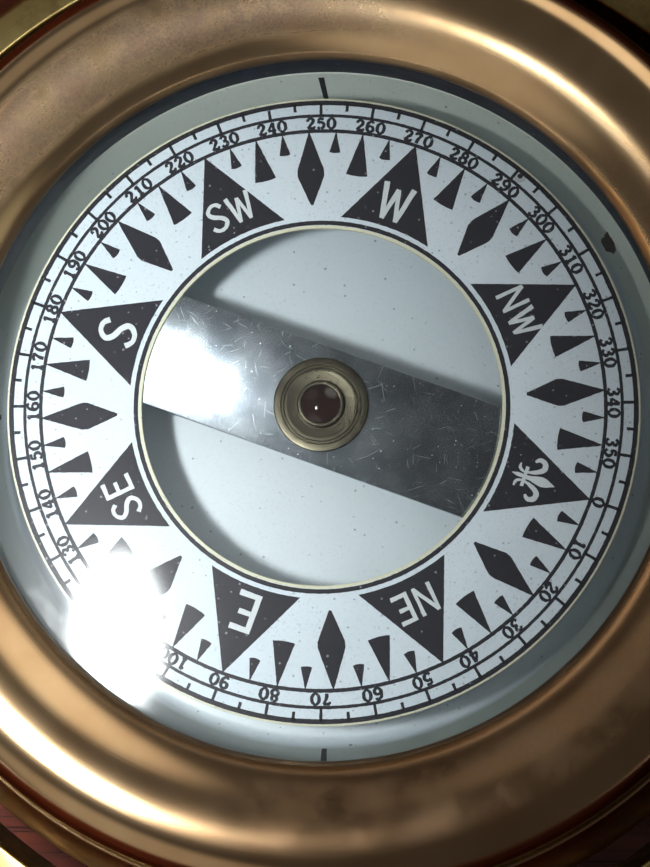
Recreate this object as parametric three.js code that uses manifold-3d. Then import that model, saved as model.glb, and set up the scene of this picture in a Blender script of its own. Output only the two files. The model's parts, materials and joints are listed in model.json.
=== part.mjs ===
// Boat compass: a dry-card compass whose brass bowl hangs in gimbals inside a square mahogany box.
// Millimetres, +Z up. The origin is the middle of the box's underside. +Y is forward: the card's
// 250 degree mark stands under the forward lubber line. +X is starboard.
import * as THREE from 'three';
import { mergeVertices } from 'three/addons/utils/BufferGeometryUtils.js';
import Module from 'manifold-3d';

const wasm = await Module();
wasm.setup();

// Clearances and cutting
const seatGap = 0.1; // between faces that rest on each other
const fitGap = 0.3; // round pins and shanks
const cutOverrun = 2; // how far a cutter runs past the surface that it cuts

// Card, with its top face a little below the bezel's lip
const cardDiameter = 76.2;
const cardBandWidth = 16.4;
const cardThickness = 0.4;
const cardDepth = 5;
const cardHeading = 250; // degrees on the card under the forward lubber line
const starboardBearing = 90; // degrees clockwise from forward

// Needle bar, under the card and along its north to south line
const needleLength = 60;
const needleWidth = 14.1;
const needleThickness = 1;

// Cap in the middle of the needle, and its jewel
const capDiameter = 11.5;
const capFlangeHeight = 0.45;
const capStepWidth = 1.7;
const capStepHeight = 0.3;
const capSpigotDiameter = 5.2;
const capRimWidth = 0.3;
const capRimHeight = 0.35;
const jewelDiameter = 4.6;
const jewelDomeHeight = 0.65;
const jewelBodyHeight = 1.05;
const jewelCupDiameter = 2.2;
const jewelCupDepth = 0.75;
const capNutDiameter = 8;
const capNutHeight = 0.8;

// Card chamber: a white pan hung by its flange under the dark seat ring
const cardMargin = 3.7; // from the card's edge to the bezel's lip, seen from above
const rimSetback = 1.2; // how far the chamber's rim lies outside the lip
const rimDepth = 9.24; // chamber's rim below the lip
const floorDepth = 16.7; // chamber's floor below the lip
const chamberTaper = 2.2; // how much narrower the chamber is at its floor
const chamberWall = 1.2;
const chamberFillet = 1.4;
const flangeWidth = 8.2;
const rimRounding = 0.35;

// Glass
const glassThickness = 2.2;
const glassChamfer = 0.3;

// Bezel
const lipThickness = 0.9;
const crestWidth = 9.9; // from the lip to the crest, seen from above
const crestRise = 5; // crest above the lip
const crestRounding = 5.2;
const flankAngle = 17; // degrees, of the flank's normal above level
const bezelSkirtDepth = 5.3; // bezel's lower edge below the lip
const bezelFootHeight = 0.7;
const bezelFootChamfer = 0.3;
const bezelFootOverhang = 0.15; // past the shoulder's edge

// Bowl
const neckWall = 2.8;
const bowlFlare = 13.6; // from the glass's edge out to the bowl's widest girth
const shoulderWidth = 4; // from the neck out to the shoulder's edge
const lipRise = 28; // lip above the gimbal centre
const bowlDepth = 47.7; // gimbal centre down to the flat underside
const bowlFlatDiameter = 48;
const bowlWall = 1.6;
const bowlFloor = 2.5;
const seatLedgeWidth = 3.8;
const seatLedgeHeight = 2.1;
const bossDiameter = 9;
const bossGap = 0.8; // from a boss's face to the gimbal ring

// Ballast
const ballastHeight = 12;
const ballastClearance = 1;
const ballastScrewDiameter = 4;
const ballastScrewHeadDiameter = 10;
const ballastScrewHeadHeight = 2.4;
const ballastScrewBite = 9;

// Pivot post, its point and its nut
const postFlangeDiameter = 8;
const postFlangeHeight = 1.2;
const postDiameter = 3.4;
const postTopDiameter = 2.4;
const postBelowNeedle = 1.2;
const postTailDiameter = 3;
const pointDiameter = 1;
const pointSocketDepth = 2;
const pointConeLength = 1.5;
const postNutAcrossFlats = 6;
const postNutHeight = 2.2;
const postNutSides = 6;

// Gimbal ring, its pivots and its trunnions
const ringClearance = 4.2; // from the bowl's girth to the ring
const ringWidth = 5.3;
const ringHeight = 9;
const ringInnerChamfer = 0.6;
const ringOuterRounding = 1.8;
const pivotTipDiameter = 3.4;
const pivotTipLength = 4.6;
const pivotShankDiameter = 6;
const pivotHeadDiameter = 8.4;
const pivotHeadHeight = 2.2;
const trunnionCollarHeight = 1.3;
const trunnionPinDiameter = 4.4;
const tiltLimit = 25; // degrees each way, of each gimbal axis

// Bearing plates
const plateWidth = 18;
const plateThickness = 3.5;
const plateAbovePin = 8;
const plateBelowPin = 15;
const plateCorner = 2.5;
const plateScrewSpacing = 10;
const plateScrewDrop = 9.5;

// Wood screws
const screwHeadDiameter = 5.6;
const screwShankDiameter = 2.8;
const plateScrewLength = 9;
const baseScrewLength = 20;
const slotWidthShare = 0.16;
const slotDepthShare = 0.45;

// Box
const boxWall = 9.5;
const baseThickness = 9;
const boxSideGap = 5.2; // from the gimbal ring to the wall
const swingClearance = 3; // under the bowl at full tilt
const boxAboveCrest = 3;
const fingerCount = 5;
const baseScrewInset = 30;

// How finely round pieces are cut
const largeSegments = 48;
const smallSegments = 20;
const curveSteps = 5;
const bowlSteps = 14;
const ballastSteps = 4;

const quarterTurn = Math.PI / 2;
const degrees = Math.PI / 180;

// Radii that follow from the driving dimensions
const cardRadius = cardDiameter / 2;
const cardOpeningRadius = cardRadius - cardBandWidth;
const lipRadius = cardRadius + cardMargin;
const rimRadius = lipRadius + rimSetback;
const glassRadius = rimRadius + flangeWidth;
const neckRadius = glassRadius + fitGap;
const neckOuterRadius = neckRadius + neckWall;
const shoulderRadius = neckOuterRadius + shoulderWidth;
const bowlRadius = glassRadius + bowlFlare;
const ringInnerRadius = bowlRadius + ringClearance;
const ringOuterRadius = ringInnerRadius + ringWidth;
const boxInnerHalf = ringOuterRadius + boxSideGap;
const boxOuterHalf = boxInnerHalf + boxWall;

// Heights from the gimbal centre
const shoulderHeight = lipRise - bezelSkirtDepth - seatGap;
const seatHeight = lipRise - rimDepth - chamberWall - seatGap;
const cardTop = lipRise - cardDepth;
const needleTop = cardTop - cardThickness - seatGap;
const needleBottom = needleTop - needleThickness;
const chamberFloor = lipRise - floorDepth;
const glassTop = lipRise - lipThickness - fitGap;

// The bowl's outline is two part ellipses that meet at its girth, level with the gimbal centre
const upperHalfHeight = shoulderHeight / Math.sqrt(1 - (shoulderRadius / bowlRadius) ** 2);
const lowerHalfHeight = bowlDepth / Math.sqrt(1 - (bowlFlatDiameter / 2 / bowlRadius) ** 2);

// With both gimbal axes at their limits the bowl leans by about this much
const fullLean = Math.acos(Math.cos(tiltLimit * degrees) ** 2);
const lowestSwing = Math.hypot(bowlRadius * Math.sin(fullLean), lowerHalfHeight * Math.cos(fullLean));
const gimbalHeight = baseThickness + lowestSwing + swingClearance;
const boxHeight = gimbalHeight + lipRise + crestRise + boxAboveCrest;

function point(radius, height) {
  return new THREE.Vector2(radius, height);
}

// Points of an arc from one angle to another, in degrees
function arc(centre, radius, from, to) {
  const points = [];
  for (let step = 0; step <= curveSteps; step += 1) {
    const angle = (from + ((to - from) * step) / curveSteps) * degrees;
    points.push(point(centre.x + radius * Math.cos(angle), centre.y + radius * Math.sin(angle)));
  }
  return points;
}

// Points of the bowl's outline, set in by a wall, from a lower height to an upper one
function bowlCurve(inset, lowHeight, highHeight, steps) {
  const halfHeight = (isBelow) => (isBelow ? lowerHalfHeight : upperHalfHeight) - inset;
  const angleAt = (height) => Math.asin(height / halfHeight(height < 0));
  const lowAngle = angleAt(lowHeight);
  const highAngle = angleAt(highHeight);
  const points = [];
  for (let step = 0; step <= steps; step += 1) {
    const angle = lowAngle + ((highAngle - lowAngle) * step) / steps;
    points.push(point((bowlRadius - inset) * Math.cos(angle), halfHeight(angle < 0) * Math.sin(angle)));
  }
  return points;
}

// Shared vertices, position only, without the flat triangles that a profile leaves on its axis
function tidy(geometry) {
  const bare = new THREE.BufferGeometry();
  bare.setAttribute('position', geometry.getAttribute('position').clone());
  if (geometry.index) {
    bare.setIndex(geometry.index.clone());
  }
  const merged = mergeVertices(bare);
  const corners = merged.index.array;
  const kept = [];
  for (let corner = 0; corner < corners.length; corner += 3) {
    const [a, b, c] = corners.slice(corner, corner + 3);
    if (a !== b && b !== c && c !== a) {
      kept.push(a, b, c);
    }
  }
  merged.setIndex(kept);
  return merged;
}

function toSolid(geometry) {
  const merged = tidy(geometry);
  return new wasm.Manifold(new wasm.Mesh({
    numProp: 3,
    vertProperties: new Float32Array(merged.getAttribute('position').array),
    triVerts: new Uint32Array(merged.index.array),
  }));
}

function toGeometry(solid) {
  const mesh = solid.getMesh();
  const geometry = new THREE.BufferGeometry();
  geometry.setAttribute('position', new THREE.BufferAttribute(mesh.vertProperties, 3));
  geometry.setIndex(new THREE.BufferAttribute(mesh.triVerts, 1));
  return geometry;
}

function cut(geometry, ...cutters) {
  let solid = toSolid(geometry);
  for (const cutter of cutters) {
    solid = solid.subtract(toSolid(cutter));
  }
  return toGeometry(solid);
}

function join(geometry, ...others) {
  let solid = toSolid(geometry);
  for (const other of others) {
    solid = solid.add(toSolid(other));
  }
  return toGeometry(solid);
}

// A turned solid about Z. Its profile starts and ends on the axis.
function turned(profile, segments) {
  return new THREE.LatheGeometry(profile, segments).rotateX(quarterTurn);
}

// A turned ring about Z. Its profile closes on itself.
function turnedRing(profile, segments) {
  return turned([...profile, profile[0].clone()], segments);
}

// A round bar along Z, from one height to another
function bar(radius, low, high, segments) {
  const geometry = new THREE.CylinderGeometry(radius, radius, high - low, segments);
  return geometry.rotateX(quarterTurn).translate(0, 0, (low + high) / 2);
}

function block(width, depth, height) {
  return new THREE.BoxGeometry(width, depth, height);
}

// Cutter for the slot across a screw's head, centred on the head's outer face
function slotCutter(headDiameter, headHeight) {
  return block(headDiameter + cutOverrun, headDiameter * slotWidthShare, 2 * headHeight * slotDepthShare);
}

// Countersunk hole for a wood screw that goes in upwards from z = 0, through a given thickness
function countersunkHole(thickness) {
  const headRadius = screwHeadDiameter / 2 + fitGap;
  const shankRadius = screwShankDiameter / 2 + fitGap;
  const taper = headRadius - shankRadius;
  const profile = [
    point(0, -cutOverrun),
    point(headRadius, -cutOverrun),
    point(headRadius, seatGap),
    point(shankRadius, seatGap + taper),
    point(shankRadius, thickness + cutOverrun),
    point(0, thickness + cutOverrun),
  ];
  return turned(profile, smallSegments);
}

// Countersunk slotted wood screw that goes in upwards, with its head's flat face at z = 0
function woodScrew(length) {
  const headRadius = screwHeadDiameter / 2;
  const shankRadius = screwShankDiameter / 2;
  const taper = headRadius - shankRadius;
  const profile = [
    point(0, 0),
    point(headRadius, 0),
    point(shankRadius, taper),
    point(shankRadius, length - taper),
    point(0, length),
  ];
  return cut(turned(profile, smallSegments), slotCutter(screwHeadDiameter, taper));
}

function finish(color, roughness, metalness) {
  return new THREE.MeshStandardMaterial({ color, roughness, metalness });
}

function piece(name, geometry, material) {
  const mesh = new THREE.Mesh(tidy(geometry), material);
  mesh.name = name;
  return mesh;
}

const bezelBrass = () => finish(0xa8784c, 0.25, 1);
const ringBrass = () => finish(0xab9058, 0.4, 1);
const brass = () => finish(0xa58350, 0.35, 1);
const steel = () => finish(0xb4b8ba, 0.25, 1);
const mahogany = () => finish(0x4a1f14, 0.45, 0);

// Wooden box

// Heights at which the corner fingers change sides, from the walls' lower edge to the box's top
function fingerHeights() {
  const low = baseThickness + seatGap;
  const heights = [];
  for (let finger = 0; finger <= fingerCount; finger += 1) {
    heights.push(low + ((boxHeight - low) * finger) / fingerCount);
  }
  return heights;
}

// One end of a wall's outline: out to the full length at its own fingers, in to the inner half elsewhere
function wallEnd(ownParity) {
  const heights = fingerHeights();
  const points = [];
  for (let finger = 0; finger < fingerCount; finger += 1) {
    const isOwn = finger % 2 === ownParity;
    const reach = isOwn ? boxOuterHalf : boxInnerHalf - seatGap;
    const insideLow = isOwn && finger > 0 ? seatGap : 0;
    const insideHigh = isOwn && finger < fingerCount - 1 ? seatGap : 0;
    points.push(point(reach, heights[finger] + insideLow));
    points.push(point(reach, heights[finger + 1] - insideHigh));
  }
  return points;
}

// A wall stands on the base. Its length runs along X and its inner face is at y = boxInnerHalf.
function wallGeometry(ownParity, holes) {
  const right = wallEnd(ownParity);
  const left = right.map((corner) => point(-corner.x, corner.y)).reverse();
  const outline = new THREE.Shape([...right, ...left]);
  const geometry = new THREE.ExtrudeGeometry(outline, { depth: boxWall, bevelEnabled: false });
  geometry.rotateX(quarterTurn).translate(0, boxOuterHalf, 0);
  return cut(geometry, ...holes);
}

function plateScrewHole(side) {
  const hole = bar(screwShankDiameter / 2 + fitGap, -cutOverrun, plateScrewLength - plateThickness + fitGap,
    smallSegments);
  const height = gimbalHeight - plateScrewDrop;
  return hole.rotateX(-quarterTurn).translate((side * plateScrewSpacing) / 2, boxInnerHalf, height);
}

function baseScrewHole(end) {
  const hole = bar(screwShankDiameter / 2 + fitGap, -cutOverrun, baseScrewLength + fitGap, smallSegments);
  return hole.translate(end * (boxInnerHalf - baseScrewInset), boxInnerHalf + boxWall / 2, 0);
}

function boxWalls() {
  const sideHoles = () => [baseScrewHole(-1), baseScrewHole(1)];
  const plateHoles = () => [plateScrewHole(-1), plateScrewHole(1)];
  const walls = [
    piece('box_wall_back', wallGeometry(1, plateHoles()), mahogany()),
    piece('box_wall_left', wallGeometry(0, sideHoles()), mahogany()),
    piece('box_wall_front', wallGeometry(1, plateHoles()), mahogany()),
    piece('box_wall_right', wallGeometry(0, sideHoles()), mahogany()),
  ];
  walls.forEach((wall, turn) => {
    wall.geometry.rotateZ(turn * quarterTurn);
  });
  return walls;
}

// Places of the base's screws, seen from above: two under each side wall
function baseScrewPlaces() {
  const across = boxInnerHalf + boxWall / 2;
  const along = boxInnerHalf - baseScrewInset;
  return [-1, 1].flatMap((side) => [-1, 1].map((end) => point(side * across, end * along)));
}

function boxBase() {
  const holeAt = (place) => countersunkHole(baseThickness).translate(place.x, place.y, 0);
  const holes = baseScrewPlaces().map(holeAt);
  const slab = block(2 * boxOuterHalf, 2 * boxOuterHalf, baseThickness).translate(0, 0, baseThickness / 2);
  return piece('box_base', cut(slab, ...holes), mahogany());
}

function baseScrews() {
  return baseScrewPlaces().map((place, index) => {
    const screw = piece(`base_screw_${index + 1}`, woodScrew(baseScrewLength), brass());
    screw.position.set(place.x, place.y, seatGap);
    return screw;
  });
}

// Distance of the bearing plates' inner faces from the middle
function plateFace() {
  return boxInnerHalf - seatGap - plateThickness;
}

// Bearing plate for one trunnion: an upright plate with a slot open at the top. It stands against
// the inner face of the wall at y = boxInnerHalf.
function bearingPlate(name) {
  const half = plateWidth / 2;
  const slotRadius = trunnionPinDiameter / 2 + fitGap;
  const outline = new THREE.Shape([
    point(slotRadius, plateAbovePin),
    ...arc(point(0, 0), slotRadius, 0, -180),
    point(-slotRadius, plateAbovePin),
    ...arc(point(-half + plateCorner, plateAbovePin - plateCorner), plateCorner, 90, 180),
    ...arc(point(-half + plateCorner, -plateBelowPin + plateCorner), plateCorner, 180, 270),
    ...arc(point(half - plateCorner, -plateBelowPin + plateCorner), plateCorner, 270, 360),
    ...arc(point(half - plateCorner, plateAbovePin - plateCorner), plateCorner, 0, 90),
  ].reverse());
  const plate = new THREE.ExtrudeGeometry(outline, { depth: plateThickness, bevelEnabled: false });
  plate.rotateX(quarterTurn).translate(0, boxInnerHalf - seatGap, gimbalHeight);
  const holes = [];
  for (const side of [-1, 1]) {
    const hole = countersunkHole(plateThickness).rotateX(-quarterTurn);
    holes.push(hole.translate((side * plateScrewSpacing) / 2, plateFace(), gimbalHeight - plateScrewDrop));
  }
  return piece(name, cut(plate, ...holes), brass());
}

function bearings() {
  const pieces = [];
  ['back', 'front'].forEach((end, turn) => {
    const parts = [bearingPlate(`bearing_plate_${end}`)];
    ['left', 'right'].forEach((hand, index) => {
      const screw = piece(`bearing_screw_${end}_${hand}`, woodScrew(plateScrewLength), brass());
      const side = 2 * index - 1;
      screw.geometry.rotateX(-quarterTurn).translate((side * plateScrewSpacing) / 2, plateFace() + seatGap,
        gimbalHeight - plateScrewDrop);
      parts.push(screw);
    });
    for (const part of parts) {
      part.geometry.rotateZ(2 * turn * quarterTurn);
      pieces.push(part);
    }
  });
  return pieces;
}

// Gimbal ring and what is screwed into it, about the gimbal centre

function gimbalRing() {
  const half = ringHeight / 2;
  const inner = ringInnerRadius;
  const outer = ringOuterRadius;
  const profile = [
    point(inner, -half + ringInnerChamfer),
    point(inner + ringInnerChamfer, -half),
    ...arc(point(outer - ringOuterRounding, -half + ringOuterRounding), ringOuterRounding, -90, 0),
    ...arc(point(outer - ringOuterRounding, half - ringOuterRounding), ringOuterRounding, 0, 90),
    point(inner + ringInnerChamfer, half),
    point(inner, half - ringInnerChamfer),
  ];
  const holeRadius = pivotShankDiameter / 2 + fitGap;
  const reach = ringOuterRadius + cutOverrun;
  const acrossHole = bar(holeRadius, -reach, reach, smallSegments).rotateY(quarterTurn);
  const alongHole = bar(holeRadius, -reach, reach, smallSegments).rotateX(quarterTurn);
  return piece('gimbal_ring', cut(turnedRing(profile, largeSegments), acrossHole, alongHole), ringBrass());
}

// Pivot screw along Z: its tip enters a boss on the bowl, its shank fills the ring, its head is outside
function bowlPivotScrew(name) {
  const tip = pivotTipDiameter / 2;
  const shank = pivotShankDiameter / 2;
  const head = pivotHeadDiameter / 2;
  const shankStart = ringInnerRadius;
  const headStart = ringOuterRadius + seatGap;
  const headEnd = headStart + pivotHeadHeight;
  const profile = [
    point(0, shankStart - pivotTipLength),
    point(tip, shankStart - pivotTipLength),
    point(tip, shankStart),
    point(shank, shankStart),
    point(shank, headStart),
    point(head, headStart),
    point(head, headEnd),
    point(0, headEnd),
  ];
  const slot = slotCutter(pivotHeadDiameter, pivotHeadHeight).translate(0, 0, headEnd);
  return piece(name, cut(turned(profile, smallSegments), slot), brass());
}

// Trunnion along Z: a threaded tail in the ring, a collar against it and a pin that lies in the bearing
function ringTrunnion(name) {
  const shank = pivotShankDiameter / 2;
  const pin = trunnionPinDiameter / 2;
  const collar = pivotHeadDiameter / 2;
  const collarStart = ringOuterRadius + seatGap;
  const collarEnd = collarStart + trunnionCollarHeight;
  const profile = [
    point(0, ringInnerRadius + ringInnerChamfer),
    point(shank, ringInnerRadius + ringInnerChamfer),
    point(shank, collarStart),
    point(collar, collarStart),
    point(collar, collarEnd),
    point(pin, collarEnd),
    point(pin, boxInnerHalf - fitGap),
    point(0, boxInnerHalf - fitGap),
  ];
  return piece(name, turned(profile, smallSegments), brass());
}

function ringPieces() {
  const right = bowlPivotScrew('bowl_pivot_screw_right');
  const left = bowlPivotScrew('bowl_pivot_screw_left');
  const back = ringTrunnion('ring_trunnion_back');
  const front = ringTrunnion('ring_trunnion_front');
  right.rotation.y = quarterTurn;
  left.rotation.y = -quarterTurn;
  back.rotation.x = -quarterTurn;
  front.rotation.x = quarterTurn;
  return [gimbalRing(), right, left, back, front];
}

// Bowl and what is fixed in it, about the gimbal centre

function bowlShell() {
  const neckTop = glassTop - fitGap;
  const floorTop = -bowlDepth + bowlFloor;
  const shoulderUnder = shoulderHeight - bowlWall;
  const ledgeBottom = seatHeight - seatLedgeHeight;
  const profile = [
    point(0, -bowlDepth),
    ...bowlCurve(0, -bowlDepth, shoulderHeight, bowlSteps),
    point(neckOuterRadius, shoulderHeight),
    point(neckOuterRadius, neckTop),
    point(neckRadius, neckTop),
    point(neckRadius, seatHeight),
    point(neckRadius - seatLedgeWidth, seatHeight),
    point(neckRadius - seatLedgeWidth, ledgeBottom),
    point(neckOuterRadius, ledgeBottom),
    point(neckOuterRadius, shoulderUnder),
    ...bowlCurve(bowlWall, floorTop, shoulderUnder, bowlSteps).reverse(),
    point(0, floorTop),
  ];
  const bossFace = ringInnerRadius - bossGap;
  const bosses = bar(bossDiameter / 2, -bossFace, bossFace, smallSegments).rotateY(quarterTurn);
  const keepOut = bar(bowlRadius - bowlWall, -bossDiameter, bossDiameter, largeSegments);
  const pinHole = bar(pivotTipDiameter / 2 + fitGap, -ringInnerRadius, ringInnerRadius, smallSegments);
  const screwHole = bar(ballastScrewDiameter / 2 + fitGap, -bowlDepth - cutOverrun, floorTop + cutOverrun,
    smallSegments);
  const body = join(turned(profile, largeSegments), cut(bosses, keepOut));
  return piece('bowl_shell', cut(body, pinHole.rotateY(quarterTurn), screwHole), brass());
}

function bezelRing() {
  const bore = neckOuterRadius + fitGap;
  const foot = lipRise - bezelSkirtDepth;
  const footRadius = shoulderRadius + bezelFootOverhang;
  const crest = point(lipRadius + crestWidth, lipRise + crestRise);
  const sweep = (crestWidth ** 2 + crestRise ** 2) / (2 * crestRise);
  const sweepStart = 90 + Math.asin(crestWidth / sweep) / degrees;
  const profile = [
    point(lipRadius, lipRise - lipThickness),
    point(bore, lipRise - lipThickness),
    point(bore, foot),
    point(footRadius - bezelFootChamfer, foot),
    point(footRadius, foot + bezelFootChamfer),
    point(footRadius, foot + bezelFootHeight),
    ...arc(point(crest.x, crest.y - crestRounding), crestRounding, flankAngle, 90),
    ...arc(point(crest.x, crest.y - sweep), sweep, 90, sweepStart).slice(1),
  ];
  return piece('bezel_ring', turnedRing(profile, largeSegments), bezelBrass());
}

function glassDisc() {
  const bottom = glassTop - glassThickness;
  const profile = [
    point(0, bottom),
    point(glassRadius - glassChamfer, bottom),
    point(glassRadius, bottom + glassChamfer),
    point(glassRadius, glassTop - glassChamfer),
    point(glassRadius - glassChamfer, glassTop),
    point(0, glassTop),
  ];
  const material = finish(0xe6f0ee, 0.05, 0);
  material.transparent = true;
  material.opacity = 0.25;
  return piece('glass', turned(profile, largeSegments), material);
}

// Dark ring that holds the glass clear of the card chamber
function glassSeatRing() {
  const bottom = lipRise - rimDepth + seatGap;
  const top = glassTop - glassThickness - seatGap;
  const profile = [
    point(rimRadius, bottom),
    point(glassRadius, bottom),
    point(glassRadius, top),
    point(rimRadius, top),
  ];
  return piece('glass_seat_ring', turnedRing(profile, largeSegments), finish(0x20262f, 0.5, 0.1));
}

function cardChamber() {
  const rim = lipRise - rimDepth;
  const floorRadius = rimRadius - chamberTaper;
  const underside = chamberFloor - chamberWall;
  const profile = [
    point(0, underside),
    point(floorRadius + chamberWall - chamberFillet, underside),
    point(floorRadius + chamberWall, underside + chamberFillet),
    point(rimRadius + chamberWall, rim - chamberWall),
    point(glassRadius, rim - chamberWall),
    point(glassRadius, rim),
    point(rimRadius + rimRounding, rim),
    point(rimRadius, rim - rimRounding),
    point(floorRadius, chamberFloor + chamberFillet),
    point(floorRadius - chamberFillet, chamberFloor),
    point(0, chamberFloor),
  ];
  const tailHole = bar(postTailDiameter / 2 + fitGap, underside - cutOverrun, chamberFloor + cutOverrun,
    smallSegments);
  return piece('card_chamber', cut(turned(profile, largeSegments), tailHole), finish(0xd5dad8, 0.6, 0));
}

function ballastWeight() {
  const bottom = -bowlDepth + bowlFloor + seatGap;
  const top = bottom + ballastHeight;
  const outline = bowlCurve(bowlWall + ballastClearance, bottom, top, ballastSteps);
  const profile = [point(0, bottom), ...outline, point(0, top)];
  const hole = bar(ballastScrewDiameter / 2 + fitGap, bottom - cutOverrun, bottom + ballastScrewBite + fitGap,
    smallSegments);
  return piece('ballast_weight', cut(turned(profile, largeSegments), hole), finish(0x5f6368, 0.7, 0.6));
}

function ballastScrew() {
  const head = ballastScrewHeadDiameter / 2;
  const shank = ballastScrewDiameter / 2;
  const headTop = -bowlDepth - seatGap;
  const headBottom = headTop - ballastScrewHeadHeight;
  const profile = [
    point(0, headBottom),
    point(head, headBottom),
    point(head, headTop),
    point(shank, headTop),
    point(shank, headTop + bowlFloor + ballastScrewBite),
    point(0, headTop + bowlFloor + ballastScrewBite),
  ];
  const slot = slotCutter(ballastScrewHeadDiameter, ballastScrewHeadHeight).translate(0, 0, headBottom);
  return piece('ballast_screw', cut(turned(profile, smallSegments), slot), brass());
}

function pivotPost() {
  const base = chamberFloor + seatGap;
  const top = needleBottom - postBelowNeedle;
  const tailBottom = chamberFloor - chamberWall - seatGap - postNutHeight;
  const profile = [
    point(0, tailBottom),
    point(postTailDiameter / 2, tailBottom),
    point(postTailDiameter / 2, base),
    point(postFlangeDiameter / 2, base),
    point(postFlangeDiameter / 2, base + postFlangeHeight),
    point(postDiameter / 2, base + postFlangeHeight),
    point(postTopDiameter / 2, top),
    point(0, top),
  ];
  const socket = bar(pointDiameter / 2 + seatGap, top - pointSocketDepth, top + cutOverrun, smallSegments);
  return piece('pivot_post', cut(turned(profile, smallSegments), socket), brass());
}

function pivotPoint() {
  const base = needleBottom - postBelowNeedle - pointSocketDepth + seatGap;
  const tip = jewelBottom() + jewelCupDepth - seatGap;
  const profile = [
    point(0, base),
    point(pointDiameter / 2, base),
    point(pointDiameter / 2, tip - pointConeLength),
    point(0, tip),
  ];
  return piece('pivot_point', turned(profile, smallSegments), steel());
}

function pivotNut() {
  const top = chamberFloor - chamberWall - seatGap;
  const bottom = top - postNutHeight;
  const corner = postNutAcrossFlats / 2 / Math.cos(Math.PI / postNutSides);
  const hexagon = bar(corner, bottom, top, postNutSides);
  const hole = bar(postTailDiameter / 2 + fitGap, bottom - cutOverrun, top + cutOverrun, smallSegments);
  return piece('pivot_nut', cut(hexagon, hole), brass());
}

// Card, needle, cap and jewel, which turn together on the pivot point

function cardRing() {
  const profile = [
    point(cardOpeningRadius, cardTop - cardThickness),
    point(cardRadius, cardTop - cardThickness),
    point(cardRadius, cardTop),
    point(cardOpeningRadius, cardTop),
  ];
  return piece('card_ring', turnedRing(profile, largeSegments), finish(0xdfe3e4, 0.8, 0));
}

function needleBar() {
  const hole = bar(capSpigotDiameter / 2 + seatGap, needleBottom - cutOverrun, needleTop + cutOverrun,
    smallSegments);
  const strip = block(needleLength, needleWidth, needleThickness);
  strip.translate(0, 0, needleTop - needleThickness / 2);
  const northFromForward = 360 - cardHeading;
  const north = (starboardBearing - northFromForward) * degrees;
  return piece('needle_bar', cut(strip, hole).rotateZ(north), steel());
}

// Underside of the cap's flange, and of the jewel
function capSeat() {
  return needleTop + seatGap;
}

function jewelBottom() {
  return capSeat() + capFlangeHeight + capStepHeight + capRimHeight - jewelBodyHeight;
}

function capBody() {
  const flange = capDiameter / 2;
  const step = flange - capStepWidth;
  const rim = jewelDiameter / 2 + seatGap + capRimWidth;
  const bore = jewelDiameter / 2 + seatGap;
  const seat = capSeat();
  const spigotBottom = needleBottom - seatGap - capNutHeight;
  const ledge = jewelBottom() - seatGap;
  const flangeTop = seat + capFlangeHeight;
  const stepTop = flangeTop + capStepHeight;
  const rimTop = stepTop + capRimHeight;
  const profile = [
    point(jewelCupDiameter / 2, spigotBottom),
    point(capSpigotDiameter / 2, spigotBottom),
    point(capSpigotDiameter / 2, seat),
    point(flange, seat),
    point(flange, flangeTop),
    point(step, flangeTop),
    point(step, stepTop),
    point(rim, stepTop),
    point(rim, rimTop),
    point(bore, rimTop),
    point(bore, ledge),
    point(jewelCupDiameter / 2, ledge),
  ];
  return piece('cap_body', turnedRing(profile, smallSegments), brass());
}

function capJewel() {
  const radius = jewelDiameter / 2;
  const bottom = jewelBottom();
  const girdle = bottom + jewelBodyHeight;
  const domeRadius = (radius ** 2 + jewelDomeHeight ** 2) / (2 * jewelDomeHeight);
  const domeEdge = 90 - Math.asin(radius / domeRadius) / degrees;
  const profile = [
    point(0, bottom + jewelCupDepth),
    point(jewelCupDiameter / 2, bottom),
    point(radius, bottom),
    ...arc(point(0, girdle + jewelDomeHeight - domeRadius), domeRadius, domeEdge, 90),
  ];
  profile[profile.length - 1].x = 0;
  return piece('cap_jewel', turned(profile, smallSegments), finish(0x3a1712, 0.1, 0));
}

function capNut() {
  const profile = [
    point(capSpigotDiameter / 2 + seatGap, needleBottom - seatGap - capNutHeight),
    point(capNutDiameter / 2, needleBottom - seatGap - capNutHeight),
    point(capNutDiameter / 2, needleBottom - seatGap),
    point(capSpigotDiameter / 2 + seatGap, needleBottom - seatGap),
  ];
  return piece('cap_nut', turnedRing(profile, smallSegments), brass());
}

const bowl = new THREE.Group();
bowl.add(bowlShell(), bezelRing(), glassDisc(), glassSeatRing(), cardChamber());
bowl.add(ballastWeight(), ballastScrew(), pivotPost(), pivotPoint(), pivotNut());

const card = new THREE.Group();
card.add(cardRing(), needleBar(), capBody(), capJewel(), capNut());
bowl.add(card);

const gimbal = new THREE.Group();
gimbal.position.z = gimbalHeight;
gimbal.add(...ringPieces(), bowl);

const compass = new THREE.Group();
compass.add(boxBase(), ...boxWalls(), ...baseScrews(), ...bearings(), gimbal);

export default compass;
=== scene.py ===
import json
import math

import bmesh
import bpy
from mathutils import Matrix, Vector, noise


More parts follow.
